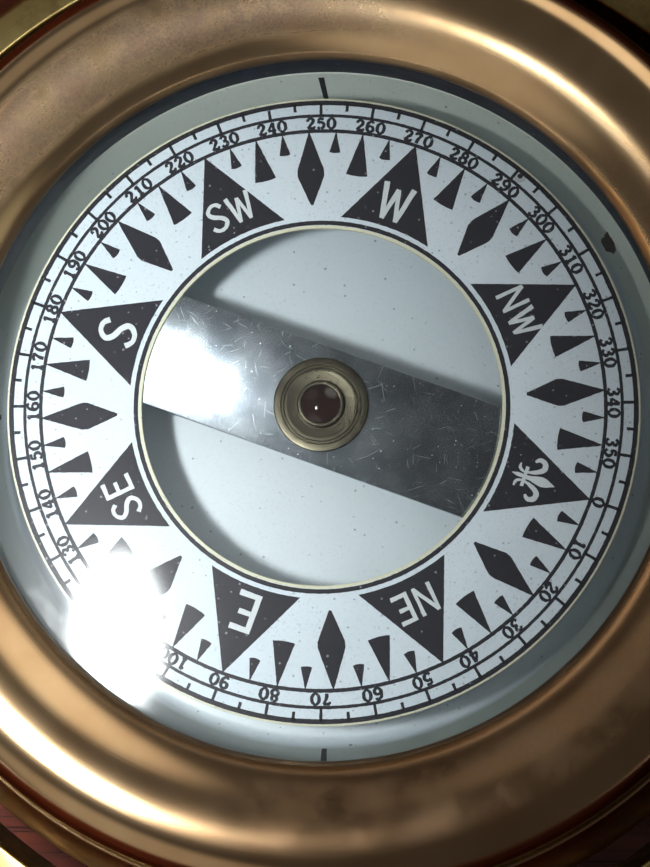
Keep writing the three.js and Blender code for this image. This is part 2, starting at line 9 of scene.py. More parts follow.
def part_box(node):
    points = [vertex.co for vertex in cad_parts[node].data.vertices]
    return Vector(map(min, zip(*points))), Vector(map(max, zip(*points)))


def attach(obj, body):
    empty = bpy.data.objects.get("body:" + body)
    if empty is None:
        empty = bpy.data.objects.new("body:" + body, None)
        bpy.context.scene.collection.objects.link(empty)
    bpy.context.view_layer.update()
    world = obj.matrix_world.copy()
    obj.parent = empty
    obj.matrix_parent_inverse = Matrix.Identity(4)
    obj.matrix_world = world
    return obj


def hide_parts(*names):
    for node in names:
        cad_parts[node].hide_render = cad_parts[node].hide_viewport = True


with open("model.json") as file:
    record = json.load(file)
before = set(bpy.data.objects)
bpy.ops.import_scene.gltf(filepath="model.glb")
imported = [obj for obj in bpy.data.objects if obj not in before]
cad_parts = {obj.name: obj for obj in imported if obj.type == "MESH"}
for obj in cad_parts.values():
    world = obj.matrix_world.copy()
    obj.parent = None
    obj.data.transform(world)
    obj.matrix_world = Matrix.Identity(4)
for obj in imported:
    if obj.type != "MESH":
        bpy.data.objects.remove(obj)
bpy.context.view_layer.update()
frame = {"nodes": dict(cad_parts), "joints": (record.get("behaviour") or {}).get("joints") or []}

MM = 0.001
TAU = 2 * math.pi
QUARTER = math.pi / 2

# How finely round pieces are cut
FINE = 288
SMALL = 96
FILLET_STEPS = 6
SHARP_ANGLE = math.radians(32)


# Sizes read from the frame

def measures(node):
    """Least and greatest distance of a CAD node from the Z axis, and its lowest and highest point."""
    found = [math.hypot(v.co.x, v.co.y) for v in frame["nodes"][node].data.vertices]
    low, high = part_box(node)
    return min(found), max(found), low.z, high.z


GIMBAL = next(joint["pos_m"][2] for joint in frame["joints"] if joint["name"] == "ring_tilt")
CARD_HOLE, CARD_EDGE, CARD_LOW, CARD_TOP = measures("card_ring")
LIP, BEZEL_FOOT, BEZEL_LOW, BEZEL_CREST = measures("bezel_ring")
RING_INNER, RING_OUTER, RING_LOW, RING_HIGH = measures("gimbal_ring")
GLASS_EDGE, GLASS_LOW, GLASS_HIGH = measures("glass")[1:]
SEAT_RIM, _, SEAT_LOW, SEAT_HIGH = measures("glass_seat_ring")
CHAMBER_LOW, CHAMBER_RIM = measures("card_chamber")[2:]
BOWL_LOW, NECK_TOP = measures("bowl_shell")[2:]
BOSS_FACE, BOWL_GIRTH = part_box("bowl_shell")[1][:2]
_, CAP_EDGE, _, CAP_HIGH = measures("cap_body")
NEEDLE_LOW, NEEDLE_TOP = measures("needle_bar")[2:]
_, JEWEL_EDGE, _, JEWEL_HIGH = measures("cap_jewel")

# Sizes of the same solids that their boxes don't give
LIP_THICKNESS = 0.9 * MM
CREST_WIDTH = 9.9 * MM
CREST_RISE = 5 * MM
CREST_ROUNDING = 5.2 * MM
FLANK_ANGLE = math.radians(17)
FOOT_HEIGHT = 0.7 * MM
CHAMBER_TAPER = 2.2 * MM
CHAMBER_WALL = 1.2 * MM
BOWL_WALL = 1.6 * MM
BOWL_FLOOR = 2.5 * MM
BOWL_FLAT = 24 * MM
NECK_WALL = 2.8 * MM
FIT_GAP = 0.3 * MM
SEAT_GAP = 0.1 * MM
LIP_TOP = BEZEL_CREST - CREST_RISE
FLOOR_TOP = CHAMBER_LOW + CHAMBER_WALL
HEADING = 250  # degrees on the card under the forward lubber line


# Shapes

def filleted(corners):
    """Points of an outline that closes on itself. Each corner is (x, y) or (x, y, fillet radius)."""
    points = []
    for index, corner in enumerate(corners):
        here = Vector(corner[:2])
        if len(corner) == 2:
            points.append(here)
            continue
        before = (Vector(corners[index - 1][:2]) - here).normalized()
        after = (Vector(corners[(index + 1) % len(corners)][:2]) - here).normalized()
        half = before.angle(after) / 2
        centre = here + (before + after).normalized() * (corner[2] / math.sin(half))
        first = here + before * (corner[2] / math.tan(half)) - centre
        side = 1 if before.x * after.y - before.y * after.x < 0 else -1
        sweep = side * (math.pi - 2 * half)
        for step in range(FILLET_STEPS + 1):
            points.append(centre + Matrix.Rotation(sweep * step / FILLET_STEPS, 2) @ first)
    return points


def polar(radius, angle):
    return radius * math.cos(angle), radius * math.sin(angle)


def arc(centre, radius, start, end, steps):
    """Points of an arc between two angles in radians."""
    turned = (polar(radius, start + (end - start) * step / steps) for step in range(steps + 1))
    return [(centre[0] + x, centre[1] + y) for x, y in turned]


def lathe(outline, segments=FINE):
    """A turned shape about Z. Its outline closes on itself or ends on the axis."""
    shape = bmesh.new()
    rings = []
    for radius, height in outline:
        count = segments if radius > SEAT_GAP / 100 else 1
        rings.append([shape.verts.new((*polar(radius, TAU * i / count), height)) for i in range(count)])
    for low, high in zip(rings, rings[1:] + rings[:1]):
        if len(low) == len(high) == 1:
            continue
        for i in range(segments):
            j = (i + 1) % segments
            corners = [low[i % len(low)], low[j % len(low)], high[j % len(high)], high[i % len(high)]]
            shape.faces.new(list(dict.fromkeys(corners)))
    return shape


def hoop(inner, outer, low, high, inner_ease, outer_ease):
    """A turned ring with four rounded edges."""
    return lathe(filleted([
        (inner, low, inner_ease), (outer, low, outer_ease),
        (outer, high, outer_ease), (inner, high, inner_ease),
    ]))


def moved(shape, matrix):
    bmesh.ops.transform(shape, matrix=matrix, verts=shape.verts)
    return shape


def on_gimbal(shape, side, axis):
    """Turns a shape made along Z by a quarter about an axis of the gimbal, one way or the other."""
    return moved(shape, Matrix.Translation((0, 0, GIMBAL)) @ Matrix.Rotation(side * QUARTER, 4, axis))


def block(size, centre, fillet=0):
    """A box, with its edges rounded where a fillet is given."""
    shape = bmesh.new()
    bmesh.ops.create_cube(shape, size=1)
    moved(shape, Matrix.Translation(centre) @ Matrix.Diagonal((*size, 1)))
    if fillet:
        bmesh.ops.bevel(shape, geom=shape.edges[:], offset=fillet, segments=3, profile=0.5, affect="EDGES")
    return shape


def add_object(name, data):
    made = bpy.data.objects.new(name, data)
    bpy.context.scene.collection.objects.link(made)
    return made


def mesh_of(name, shape):
    """Turns a shape into a mesh whose faces look outward."""
    mesh = bpy.data.meshes.new(name)
    bmesh.ops.recalc_face_normals(shape, faces=shape.faces)
    shape.to_mesh(mesh)
    shape.free()
    return mesh


def add_piece(name, shape, material, body, slot, *replaced):
    """Makes an object of a shape, sets it riding on its body and hides the CAD parts that it stands for."""
    mesh = mesh_of(name, shape)
    mesh.materials.append(material)
    mesh.shade_smooth()
    mesh.set_sharp_from_angle(angle=SHARP_ANGLE)
    piece = add_object(name, mesh)
    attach(piece, body)
    if replaced:
        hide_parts(*replaced)
    return piece


def cut_from(shape, cutter):
    """The shape less the cutter, by a boolean on two passing objects."""
    objects = [add_object("cutting", mesh_of("cutting", made)) for made in (shape, cutter)]
    modifier = objects[0].modifiers.new("cut", "BOOLEAN")
    modifier.operation = "DIFFERENCE"
    modifier.solver = "EXACT"
    modifier.object = objects[1]
    result = bmesh.new()
    result.from_object(objects[0], bpy.context.evaluated_depsgraph_get())
    for made in objects:
        bpy.data.objects.remove(made)
    return result


def eased_copy(node, width):
    """A CAD node's own shape with its sharp edges eased by a small bevel."""
    shape = bmesh.new()
    shape.from_mesh(frame["nodes"][node].data)
    bmesh.ops.remove_doubles(shape, verts=shape.verts, dist=MM / 1000)
    bmesh.ops.dissolve_limit(shape, angle_limit=math.radians(1), verts=shape.verts, edges=shape.edges)
    sharp = [e for e in shape.edges if e.is_manifold and e.calc_face_angle() > SHARP_ANGLE]
    bmesh.ops.bevel(shape, geom=sharp, offset=width, segments=2, profile=0.5, affect="EDGES",
                    clamp_overlap=True)
    return shape


# Materials

SCRATCH_WAYS = 11
STEEL_LEAN = (0.068, -0.168, 0)  # how the steel's shine leans, as the card rocks on its point
TARNISH_SIDE = (-0.62, 0.79, 0)  # where the bezel is dullest
PAINTED_LIGHT_SIDE = (0.5, 0.87, 0)  # where painted light makes the chamber's wall whitest
CHIP_RADIUS = 42.4 * MM
CHIP_ANGLE = math.radians(31)
PAINT_CHIP = (*polar(CHIP_RADIUS, CHIP_ANGLE), CHAMBER_RIM - 4.2 * MM)
SPOT_RADIUS = 37 * MM
SPOT_MARK = 291  # degrees on the card


def srgb(red, green, blue):
    """A colour given in 0 to 255 as a screen shows it."""
    def linear(value):
        share = value / 255
        return share / 12.92 if share <= 0.04045 else ((share + 0.055) / 1.055) ** 2.4
    return (linear(red), linear(green), linear(blue), 1)


class Nodes:
    """Makes and links the nodes of one shader tree."""

    def __init__(self, tree):
        self.tree = tree

    def node(self, kind, inputs=None, **settings):
        made = self.tree.nodes.new(f"ShaderNode{kind}")
        for name, value in settings.items():
            setattr(made, name, value)
        for name, value in (inputs or {}).items():
            if isinstance(value, bpy.types.NodeSocket):
                self.tree.links.new(value, made.inputs[name])
            else:
                made.inputs[name].default_value = value
        return made

    def math(self, operation, first, second=0.0):
        return self.node("Math", {0: first, 1: second}, operation=operation).outputs[0]

    def times(self, first, second):
        return self.math("MULTIPLY", first, second)

    def plus(self, first, second):
        return self.math("ADD", first, second)

    def inverse(self, share):
        return self.math("SUBTRACT", 1.0, share)

    def vector(self, operation, first, second, output="Vector"):
        made = self.node("VectorMath", {0: first, 1: second}, operation=operation)
        return made.outputs[output]

    def along(self, place, direction):
        return self.vector("DOT_PRODUCT", place, direction, "Value")

    def band(self, value, low, high):
        """0 below low, 1 above high and smooth between."""
        inputs = {"Value": value, "From Min": low, "From Max": high}
        return self.node("MapRange", inputs, interpolation_type="SMOOTHSTEP").outputs["Result"]


class Surface(Nodes):
    """A Principled material that is built up from nodes."""

    def __init__(self, name, **sockets):
        self.material = bpy.data.materials.new(name)
        self.material.use_nodes = True
        super().__init__(self.material.node_tree)
        self.shader = self.tree.nodes["Principled BSDF"]
        for socket, value in sockets.items():
            self.shader.inputs[socket.replace("_", " ")].default_value = value
        self.place = self.node("TexCoord").outputs["Object"]

    def set(self, socket, value):
        self.tree.links.new(value, self.shader.inputs[socket])

    def color(self, factor, first, second):
        """Sets the tone of the surface, between two."""
        self.tone = self.mix(factor, first, second)
        self.set("Base Color", self.tone)

    def lay(self, color, cover, strength=1.0):
        """Lays a colour over the tone so far, where a cover is 1."""
        self.color(self.times(cover, strength), self.tone, color)

    def rough(self, value, span, base):
        """Sets a roughness that grows from a base by a span as a value goes from 0 to 1."""
        self.set("Roughness", self.plus(self.times(value, span), base))

    def stretched(self, scale, shift=(0, 0, 0)):
        inputs = {"Vector": self.place, "Scale": scale, "Location": shift}
        return self.node("Mapping", inputs).outputs["Vector"]

    def noise(self, scale, detail=2.0, roughness=0.5, vector=None, distortion=0.0):
        inputs = {"Vector": vector or self.place, "Scale": scale, "Detail": detail, "Roughness": roughness,
                  "Distortion": distortion}
        return self.node("TexNoise", inputs).outputs["Fac"]

    def specks(self, spacing, size, vector=None):
        """1 inside small round specks, one to a cell at most, and 0 outside."""
        inputs = {"Vector": vector or self.place, "Scale": 1 / spacing, "Randomness": 1.0}
        cells = self.node("TexVoronoi", inputs).outputs
        chance = self.node("SeparateColor", {0: cells["Color"]}).outputs[0]
        return self.math("LESS_THAN", cells["Distance"], self.times(chance, size / spacing))

    def radius(self):
        return self.vector("LENGTH", self.vector("MULTIPLY", self.place, (1, 1, 0)), (0, 0, 0), "Value")

    def around(self, across, along):
        """Coordinates that run round the Z axis: many steps across a radius, few along the circle."""
        parts = self.node("SeparateXYZ", {0: self.place}).outputs
        angle = self.math("ARCTAN2", parts["Y"], parts["X"])
        inputs = {
            "X": self.times(self.radius(), across),
            "Y": self.times(angle, along),
            "Z": self.times(parts["Z"], across),
        }
        return self.node("CombineXYZ", inputs).outputs[0]

    def near(self, point, reach, ragged, scale):
        """1 close to a point and 0 past a reach, with a ragged border."""
        distance = self.vector("DISTANCE", self.place, point, "Value")
        wander = self.times(self.noise(scale, 3.0), ragged)
        return self.math("LESS_THAN", self.plus(distance, wander), reach)

    def ramp(self, factor, stops):
        made = self.node("ValToRGB", {"Fac": factor})
        while len(made.color_ramp.elements) < len(stops):
            made.color_ramp.elements.new(0.5)
        for element, (position, color) in zip(made.color_ramp.elements, stops):
            element.position = position
            element.color = srgb(*color)
        return made.outputs["Color"]

    def mix(self, factor, first, second):
        """A colour between two. Each is a socket, or red, green and blue for srgb."""
        first, second = (srgb(*color) if isinstance(color, tuple) else color for color in (first, second))
        return self.node("Mix", {0: factor, 6: first, 7: second}, data_type="RGBA").outputs[2]

    def bump(self, height, distance, strength=1.0, normal=None):
        inputs = {"Height": height, "Distance": distance, "Strength": strength}
        if normal:
            inputs["Normal"] = normal
        self.set("Normal", self.node("Bump", inputs).outputs["Normal"])


def bezel_brass():
    """Polished brass under a skin of brown tarnish inside the crest, with painted shade and grime along the
    lip, and painted shade on the side away from the light.
    """
    made = Surface("bezel_brass")
    radius = made.radius()
    edge = made.plus(radius, made.times(made.noise(45, 3), 1.6 * MM))
    clean_lip = made.band(edge, LIP + 2.4 * MM, LIP + 3.8 * MM)
    clean_crest = made.band(edge, LIP + 9.2 * MM, LIP + 10.8 * MM)
    inner = made.times(clean_lip, made.inverse(clean_crest))
    side = made.math("DIVIDE", made.along(made.place, TARNISH_SIDE), radius)
    brushed = made.noise(1.0, 5.0, 0.7, made.around(3600, 110))
    clouds = made.noise(170, 4, 0.6)
    grain = made.noise(4200, 3, 0.7)
    cover = made.plus(made.times(brushed, 0.3), made.times(clouds, 0.7))
    dull_side = made.times(made.band(side, 0.42, 0.9), made.band(cover, 0.26, 0.6))
    far_side = made.times(made.band(side, -0.45, -0.95), made.band(cover, 0.4, 0.62))
    dull_side = made.math("MAXIMUM", dull_side, made.times(far_side, 0.4))
    stain = made.times(inner, dull_side)
    # Along the lip the brass is painted darker and made rougher: painted shade at the lip's edge, with grime.
    lip_shade_and_grime = made.inverse(made.band(edge, LIP + 0.9 * MM, LIP + 1.7 * MM))
    polished = made.ramp(made.noise(120, 3), [(0.3, (208, 172, 126)), (0.7, (226, 192, 146))])
    mottle = made.times(made.plus(clouds, grain), 0.5)
    tarnished = made.ramp(mottle, [(0.4, (54, 44, 38)), (0.5, (78, 65, 56)), (0.6, (124, 94, 68))])
    # Painted shade: the side of the bezel away from the light is painted darker and browner.
    dim = made.inverse(made.band(side, -0.95, -0.1))
    made.color(made.times(dim, 0.6), polished, (122, 80, 50))
    made.lay(tarnished, stain, 0.9)
    made.lay((70, 46, 30), lip_shade_and_grime, 0.8)
    made.set("Metallic", made.inverse(made.times(stain, 0.6)))
    marks = made.noise(1.0, 4.0, 0.65, made.around(6000, 4))
    dull = made.plus(made.times(stain, 0.18), made.times(marks, 0.04))
    dull = made.plus(dull, made.times(lip_shade_and_grime, 0.2))
    made.set("Roughness", made.plus(dull, 0.15))
    made.bump(made.plus(made.times(grain, stain), marks), 0.004 * MM)
    return made.material


def aged_brass(name, light, dark, rough, turning):
    """Brass with turning marks round the Z axis and darker clouds."""
    made = Surface(name, Metallic=1.0)
    clouds = made.noise(160, 5, 0.6)
    marks = made.noise(1.0, 4.0, 0.6, made.around(turning, 4))
    made.color(made.band(clouds, 0.35, 0.7), light, dark)
    made.lay(dark, made.band(marks, 0.5, 0.8), 0.5)
    made.rough(made.plus(clouds, marks), 0.12, rough)
    made.bump(marks, 0.006 * MM)
    return made.material


def scratched_steel():
    """Polished steel with hair-fine scratches that run every way, and a grain of scuffs."""
    made = Surface("scratched_steel", Metallic=1.0)
    lean = made.node("VectorTransform", {"Vector": STEEL_LEAN}, vector_type="VECTOR",
                     convert_from="OBJECT", convert_to="WORLD").outputs["Vector"]
    upright = made.node("NewGeometry").outputs["Normal"]
    leaning = made.vector("NORMALIZE", made.vector("ADD", upright, lean), (0, 0, 0))
    scratches = None
    for index in range(SCRATCH_WAYS):
        turn = math.pi * (index + 0.3 * math.sin(5 * index)) / SCRATCH_WAYS
        turned = made.node("VectorRotate", {"Vector": made.place, "Angle": turn})
        line = made.node("Mapping", {"Vector": turned.outputs[0], "Scale": (210, 15000, 210),
                                               "Location": (3.7 * index, 1.1 * index, 0)})
        layer = made.band(made.noise(1.0, 1.0, vector=line.outputs[0]), 0.75, 0.8)
        scratches = layer if scratches is None else made.math("MAXIMUM", scratches, layer)
    clouds = made.noise(260, 4)
    grain = made.noise(5200, 3, 0.65)
    made.color(made.band(clouds, 0.35, 0.65), (136, 143, 150), (172, 178, 184))
    made.lay((100, 107, 115), made.band(grain, 0.44, 0.64), 0.6)
    worn = made.math("MAXIMUM", scratches, made.specks(0.9 * MM, 0.1 * MM))
    made.lay((226, 230, 234), worn, 0.55)
    base = made.plus(made.times(clouds, 0.04), 0.178)
    made.set("Roughness", made.plus(base, made.times(worn, 0.11)))
    made.bump(made.noise(2100, 2), 0.003 * MM, normal=leaning)
    return made.material


def white_paint():
    """Aged enamel, white on the floor, with specks and one brown chip. Painted shade makes the wall
    grey-green, and painted light whitens one side of it.
    """
    made = Surface("white_paint", Coat_Weight=0.4, Coat_Roughness=0.12)
    height = made.along(made.place, (0, 0, 1))
    floor = made.mix(made.noise(70, 4), (184, 194, 199), (200, 209, 214))
    # Painted shade: the wall is painted a darker grey-green than the floor.
    dull = made.mix(made.noise(110, 4), (138, 146, 138), (160, 166, 158))
    # Painted light: the wall is painted whiter on one side, where light falls on it.
    toward_painted_light = made.along(made.place, PAINTED_LIGHT_SIDE)
    wall = made.mix(made.band(toward_painted_light, -0.2 * CARD_EDGE, 1.1 * CARD_EDGE), dull, (212, 218, 208))
    made.color(made.band(height, FLOOR_TOP + 0.8 * MM, FLOOR_TOP + 2.2 * MM), floor, wall)
    grain = made.band(made.noise(3000, 3, 0.6), 0.54, 0.72)
    made.lay((146, 152, 154), grain, 0.3)
    shifted = made.stretched((1, 1, 1), shift=(0.07, 0.02, 0.05))
    made.lay((104, 106, 108), made.specks(1.3 * MM, 0.17 * MM), 0.7)
    made.lay((74, 76, 78), made.specks(4.4 * MM, 0.4 * MM, shifted), 0.85)
    made.lay((58, 34, 22), made.near(PAINT_CHIP, 2.3 * MM, 1.6 * MM, 900))
    made.rough(made.noise(300), 0.2, 0.32)
    made.bump(made.noise(900, 3), 0.02 * MM)
    return made.material


def card_paper():
    """Bluish white printed card, yellowed at its edges, with fine specks and a dark spot ringed by painted
    shadow.
    """
    made = Surface("card_paper", Specular_IOR_Level=0.3)
    made.color(made.noise(120, 5), (202, 214, 224), (216, 226, 234))
    radius = made.radius()
    outer = made.band(radius, CARD_EDGE - 0.5 * MM, CARD_EDGE - 0.15 * MM)
    inner = made.inverse(made.band(radius, CARD_HOLE + 0.2 * MM, CARD_HOLE + 0.6 * MM))
    made.lay((214, 208, 170), made.math("MAXIMUM", outer, inner), 0.8)
    grain = made.band(made.noise(3400, 3, 0.6), 0.54, 0.74)
    made.lay((150, 158, 166), grain, 0.42)
    made.lay((112, 118, 124), made.specks(0.8 * MM, 0.14 * MM), 0.6)
    spot = (*card_point(SPOT_RADIUS, SPOT_MARK), CARD_TOP)
    # The grey ring round the dark spot is painted shadow.
    made.lay((150, 150, 140), made.near(spot, 1.0 * MM, 0.4 * MM, 1500), 0.5)
    made.lay((34, 32, 38), made.near(spot, 0.42 * MM, 0.2 * MM, 2500))
    made.rough(made.noise(700), 0.2, 0.5)
    made.bump(made.noise(2400, 4), 0.02 * MM)
    return made.material


def printing_ink():
    """Matt black ink, a little patchy, with pinholes where the paper shows."""
    made = Surface("printing_ink", Specular_IOR_Level=0.1)
    made.color(made.noise(4200, 4, 0.7), (24, 24, 31), (58, 57, 63))
    made.lay((150, 152, 158), made.specks(0.8 * MM, 0.15 * MM), 0.7)
    made.rough(made.noise(900), 0.2, 0.7)
    return made.material


def lettering_white():
    made = Surface("lettering_white", Specular_IOR_Level=0.3)
    made.color(made.noise(900, 4), (196, 202, 206), (216, 222, 226))
    made.rough(made.noise(700), 0.2, 0.5)
    return made.material


def clear_glass():
    """Clear glass. Light that goes to or from a matt surface below passes it without bending."""
    made = Surface("clear_glass", Transmission_Weight=1.0, IOR=1.5, Base_Color=srgb(250, 255, 253),
                   Coat_Weight=0.06, Coat_Roughness=0.28)
    dust = made.times(made.band(made.noise(140, 6, 0.7), 0.5, 0.8), 0.05)
    made.set("Roughness", made.plus(dust, 0.012))
    passing = made.node("BsdfTransparent").outputs[0]
    path = made.node("LightPath").outputs
    unbent = made.math("MAXIMUM", path["Is Shadow Ray"], path["Is Diffuse Ray"])
    mixed = made.node("MixShader", {0: unbent, 1: made.shader.outputs[0], 2: passing})
    output = made.tree.nodes["Material Output"]
    made.tree.links.new(mixed.outputs[0], output.inputs["Surface"])
    return made.material


def blackened_brass():
    """Blue-black satin finish with a few rubbed specks."""
    made = Surface("blackened_brass", Specular_IOR_Level=0.35)
    made.color(made.noise(500, 4), (12, 17, 30), (26, 33, 50))
    made.lay((150, 152, 158), made.specks(2.2 * MM, 0.2 * MM), 0.6)
    made.rough(made.noise(600), 0.2, 0.35)
    return made.material


def garnet():
    """Dark red-brown polished stone."""
    made = Surface("garnet", Roughness=0.05, IOR=1.7)
    made.color(made.noise(260), (20, 9, 8), (44, 22, 15))
    return made.material


def mahogany(name, grain):
    """Dark red-brown wood whose grain runs along one axis, under a worn shellac."""
    made = Surface(name, Coat_Weight=0.35, Coat_Roughness=0.22)
    squeeze = tuple(0.06 if axis == grain else 1 for axis in range(3))
    fibre = tuple(0.015 if axis == grain else 1 for axis in range(3))
    figure = made.noise(70, 5, 0.55, made.stretched(squeeze), distortion=0.9)
    fibres = made.noise(1500, 3, 0.6, made.stretched(fibre))
    pores = made.band(made.noise(2600, 1, vector=made.stretched(fibre)), 0.6, 0.7)
    tone = made.ramp(figure, [(0.3, (74, 30, 20)), (0.5, (112, 50, 32)), (0.7, (144, 72, 46))])
    made.color(made.times(fibres, 0.4), tone, (76, 32, 21))
    made.lay((34, 13, 10), pores, 0.8)
    made.rough(fibres, 0.25, 0.3)
    made.bump(made.math("SUBTRACT", fibres, pores), 0.04 * MM, 0.7)
    return made.material


def cast_lead():
    made = Surface("cast_lead", Metallic=1.0)
    made.color(made.noise(300, 5), (92, 95, 99), (132, 135, 138))
    made.rough(made.noise(500), 0.3, 0.5)
    made.bump(made.noise(900, 5), 0.1 * MM)
    return made.material


# Card printing

def card_point(radius, mark):
    """Place on the card of a radius and a mark in degrees, as the compass lies at rest."""
    angle = math.radians(mark - HEADING)
    return radius * math.sin(angle), radius * math.cos(angle)


PIXEL = CARD_EDGE / 314  # the card's edge is 314 of the photograph's pixels from its middle
OUTER_LINE = 309.5 * PIXEL
TICK_LINE = 296 * PIXEL
NUMBER_LINE = 280 * PIXEL
INNER_LINE = 184.5 * PIXEL
CIRCLES = (  # radius and width
    (OUTER_LINE, 4.8 * PIXEL),
    (TICK_LINE, 3.2 * PIXEL),
    (NUMBER_LINE, 3.7 * PIXEL),
    (INNER_LINE, 4.4 * PIXEL),
)
TICK_WIDTH = 3 * PIXEL
SHORT_TICK = 8.5 * PIXEL
NUMBER_HEIGHT = 12.2 * PIXEL
NUMBER_PITCH = 10.6 * PIXEL
NUMBER_WEIGHT = 0.75
NUMBER_SPREAD = 0.075
INK_LOW = CARD_TOP - 0.01 * MM
INK_TOP = CARD_TOP + 0.02 * MM
WHITE_TOP = CARD_TOP + 0.035 * MM
STROKE_RISE = 0.002 * MM
LINE_STEPS = 1080
WOBBLES = ((0.036 * MM, 2600), (0.03 * MM, 9000))  # how far a printed edge strays, and how finely
noise.seed_set(1)  # the same stray in every run

# Glyphs in a box one unit high. A stroke is its kind and its points: x, y and half width in hundredths.
GLYPHS = {
    "0": ["loop 36,95,3.5 60,74,7.5 64,50,9 60,26,7.5 36,5,3.5 12,26,7.5 8,50,9 12,74,7.5"],
    "1": ["line 38,96,8 38,4,8", "curve 38,93,5 27,80,4.5 14,76,3", "line 16,5,4 60,5,4"],
    "2": ["curve 14,68,9 16,85,5 36,94,4.5 56,83,8 55,62,8.5 33,36,5 10,10,4",
          "curve 9,10,5 26,13,7.5 46,8,8 64,13,5 67,27,3"],
    "3": ["curve 13,76,8.5 20,91,4 38,94,4 56,80,8 48,60,6 28,54,3.5",
          "curve 28,53,3.5 50,46,6 61,28,9 46,8,6 24,6,4 10,20,8.5"],
    "4": ["line 47,96,5 4,30,3.5", "line 2,28,4.5 70,28,4.5", "line 49,97,8 49,4,8",
          "line 32,4,3.5 66,4,3.5"],
    "5": ["line 15,89,6 58,89,6", "line 17,93,3.5 14,50,3.5",
          "curve 14,50,3.5 36,61,4.5 58,48,8 60,28,9 44,8,5.5 24,5,4 10,19,8"],
    "6": ["curve 56,80,8 50,92,4 36,94,4 16,78,7 9,50,9 13,22,8 36,5,4 59,20,8 58,42,7.5 38,55,4 18,46,4"],
    "7": ["line 8,89,6 62,89,6", "line 10,93,3 8,70,3", "curve 60,90,4 44,62,5.5 33,35,8.5 31,5,10"],
    "8": ["loop 36,95,3.5 54,85,7 54,65,6 36,54,5 18,65,7 18,85,6",
          "loop 36,53,4.5 59,40,8 60,18,8 36,5,3.5 12,18,8 13,40,7"],
    "N": ["line 10,2,6.5 10,98,5.5", "line 10,97,6 62,5,6", "line 62,2,5.5 62,98,6.5"],
    "E": ["line 12,0,7 12,100,7", "line 10,93,6.5 60,93,7.5", "line 12,52,6 50,52,7",
          "line 10,7,6.5 62,7,7.5"],
    "S": ["curve 60,80,7.5 46,94,6.5 26,93,6 12,76,7 22,58,7.5 48,44,7.5 60,26,7.5 46,8,6.5 24,6,6 8,20,7.5"],
    "W": ["line 6,98,7.5 24,2,5.5", "line 24,2,5.5 42,86,6", "line 42,86,6 60,2,5.5",
          "line 60,2,5.5 80,98,7.5"],
}
GLYPH_WIDTHS = {"N": 0.72, "E": 0.68, "S": 0.7, "W": 0.86}
DIGIT_WIDTH = 0.72

# A plain fleur-de-lis that points up: its middle strokes, and those of one side that the other mirrors
LILY_MIDDLE = [
    "curve 0,100,0.4 0,88,6 0,72,11 0,54,8 0,42,5 0,30,4.5",
    "line -23,30,4 23,30,4",
    "curve 0,28,4 0,14,4.5 0,0,0.6",
]
LILY_SIDE = [
    "curve 10,32,2 16,50,4.5 27,66,6 41,65,6 46,52,5 38,43,3",
    "curve 9,28,2 15,15,3.5 27,13,2",
]


def read_strokes(texts):
    """Kinds and points of a glyph's strokes."""
    strokes = []
    for text in texts:
        kind, *points = text.split()
        numbers = [[float(number) / 100 for number in point.split(",")] for point in points]
        strokes.append((kind, numbers))
    return strokes


def digit_strokes(digit):
    """Strokes of a digit. A nine is a six that is turned round."""
    if digit != "9":
        return read_strokes(GLYPHS[digit])
    return [(kind, [(DIGIT_WIDTH - x, 1 - y, half) for x, y, half in points])
            for kind, points in read_strokes(GLYPHS["6"])]


def crude(x, y):
    """A point moved a little, as the edge of old printing strays."""
    stray = Vector((0, 0, 0))
    for reach, scale in WOBBLES:
        stray += noise.noise_vector(Vector((x, y, 0)) * scale) * reach
    return x + stray.x, y + stray.y


def add_bar(shape, rows, closed=False):
    """Joins rows of four corners into a bar, which closes on itself or has two ends."""
    for first, second in zip(rows, rows[1:] + rows[:1] if closed else rows[1:]):
        for a, b in ((0, 1), (1, 3), (3, 2), (2, 0)):
            shape.faces.new((first[a], first[b], second[b], second[a]))
    for row in () if closed else (rows[0], rows[-1]):
        shape.faces.new((row[0], row[1], row[3], row[2]))


def add_strip(shape, lefts, rights, low, high, closed=False):
    """Adds a flat strip between two lines of points, which stray a little, as a thin solid."""
    rows = []
    for left, right in zip(lefts, rights):
        sides = (crude(*left), crude(*right))
        rows.append([shape.verts.new((*side, height)) for height in (low, high) for side in sides])
    add_bar(shape, rows, closed)


def add_plate(shape, outline, low, high):
    """Adds a flat plate inside an outline, as a thin solid."""
    bottom = [shape.verts.new((x, y, low)) for x, y in outline]
    top = [shape.verts.new((x, y, high)) for x, y in outline]
    shape.faces.new(bottom)
    shape.faces.new(top)
    for i in range(len(outline)):
        j = (i + 1) % len(outline)
        shape.faces.new((bottom[i], bottom[j], top[j], top[i]))


def smooth_line(points, closed, steps=7):
    """A smooth line through points of any number of numbers."""
    row = [points[-1], *points, *points[:2]] if closed else [points[0], *points, points[-1]]
    line = []
    for four in zip(row, row[1:], row[2:], row[3:]):
        for step in range(steps):
            t = step / steps
            line.append(tuple(
                0.5 * (2 * q + (r - p) * t + (2 * p - 5 * q + 4 * r - s) * t * t
                       + (3 * q - p - 3 * r + s) * t ** 3)
                for p, q, r, s in zip(*four)
            ))
    return line if closed else [*line, points[-1]]


def straight_line(points, steps=6):
    line = []
    for start, end in zip(points, points[1:]):
        for step in range(steps + 1):
            line.append(tuple(p + (q - p) * step / steps for p, q in zip(start, end)))
    return line


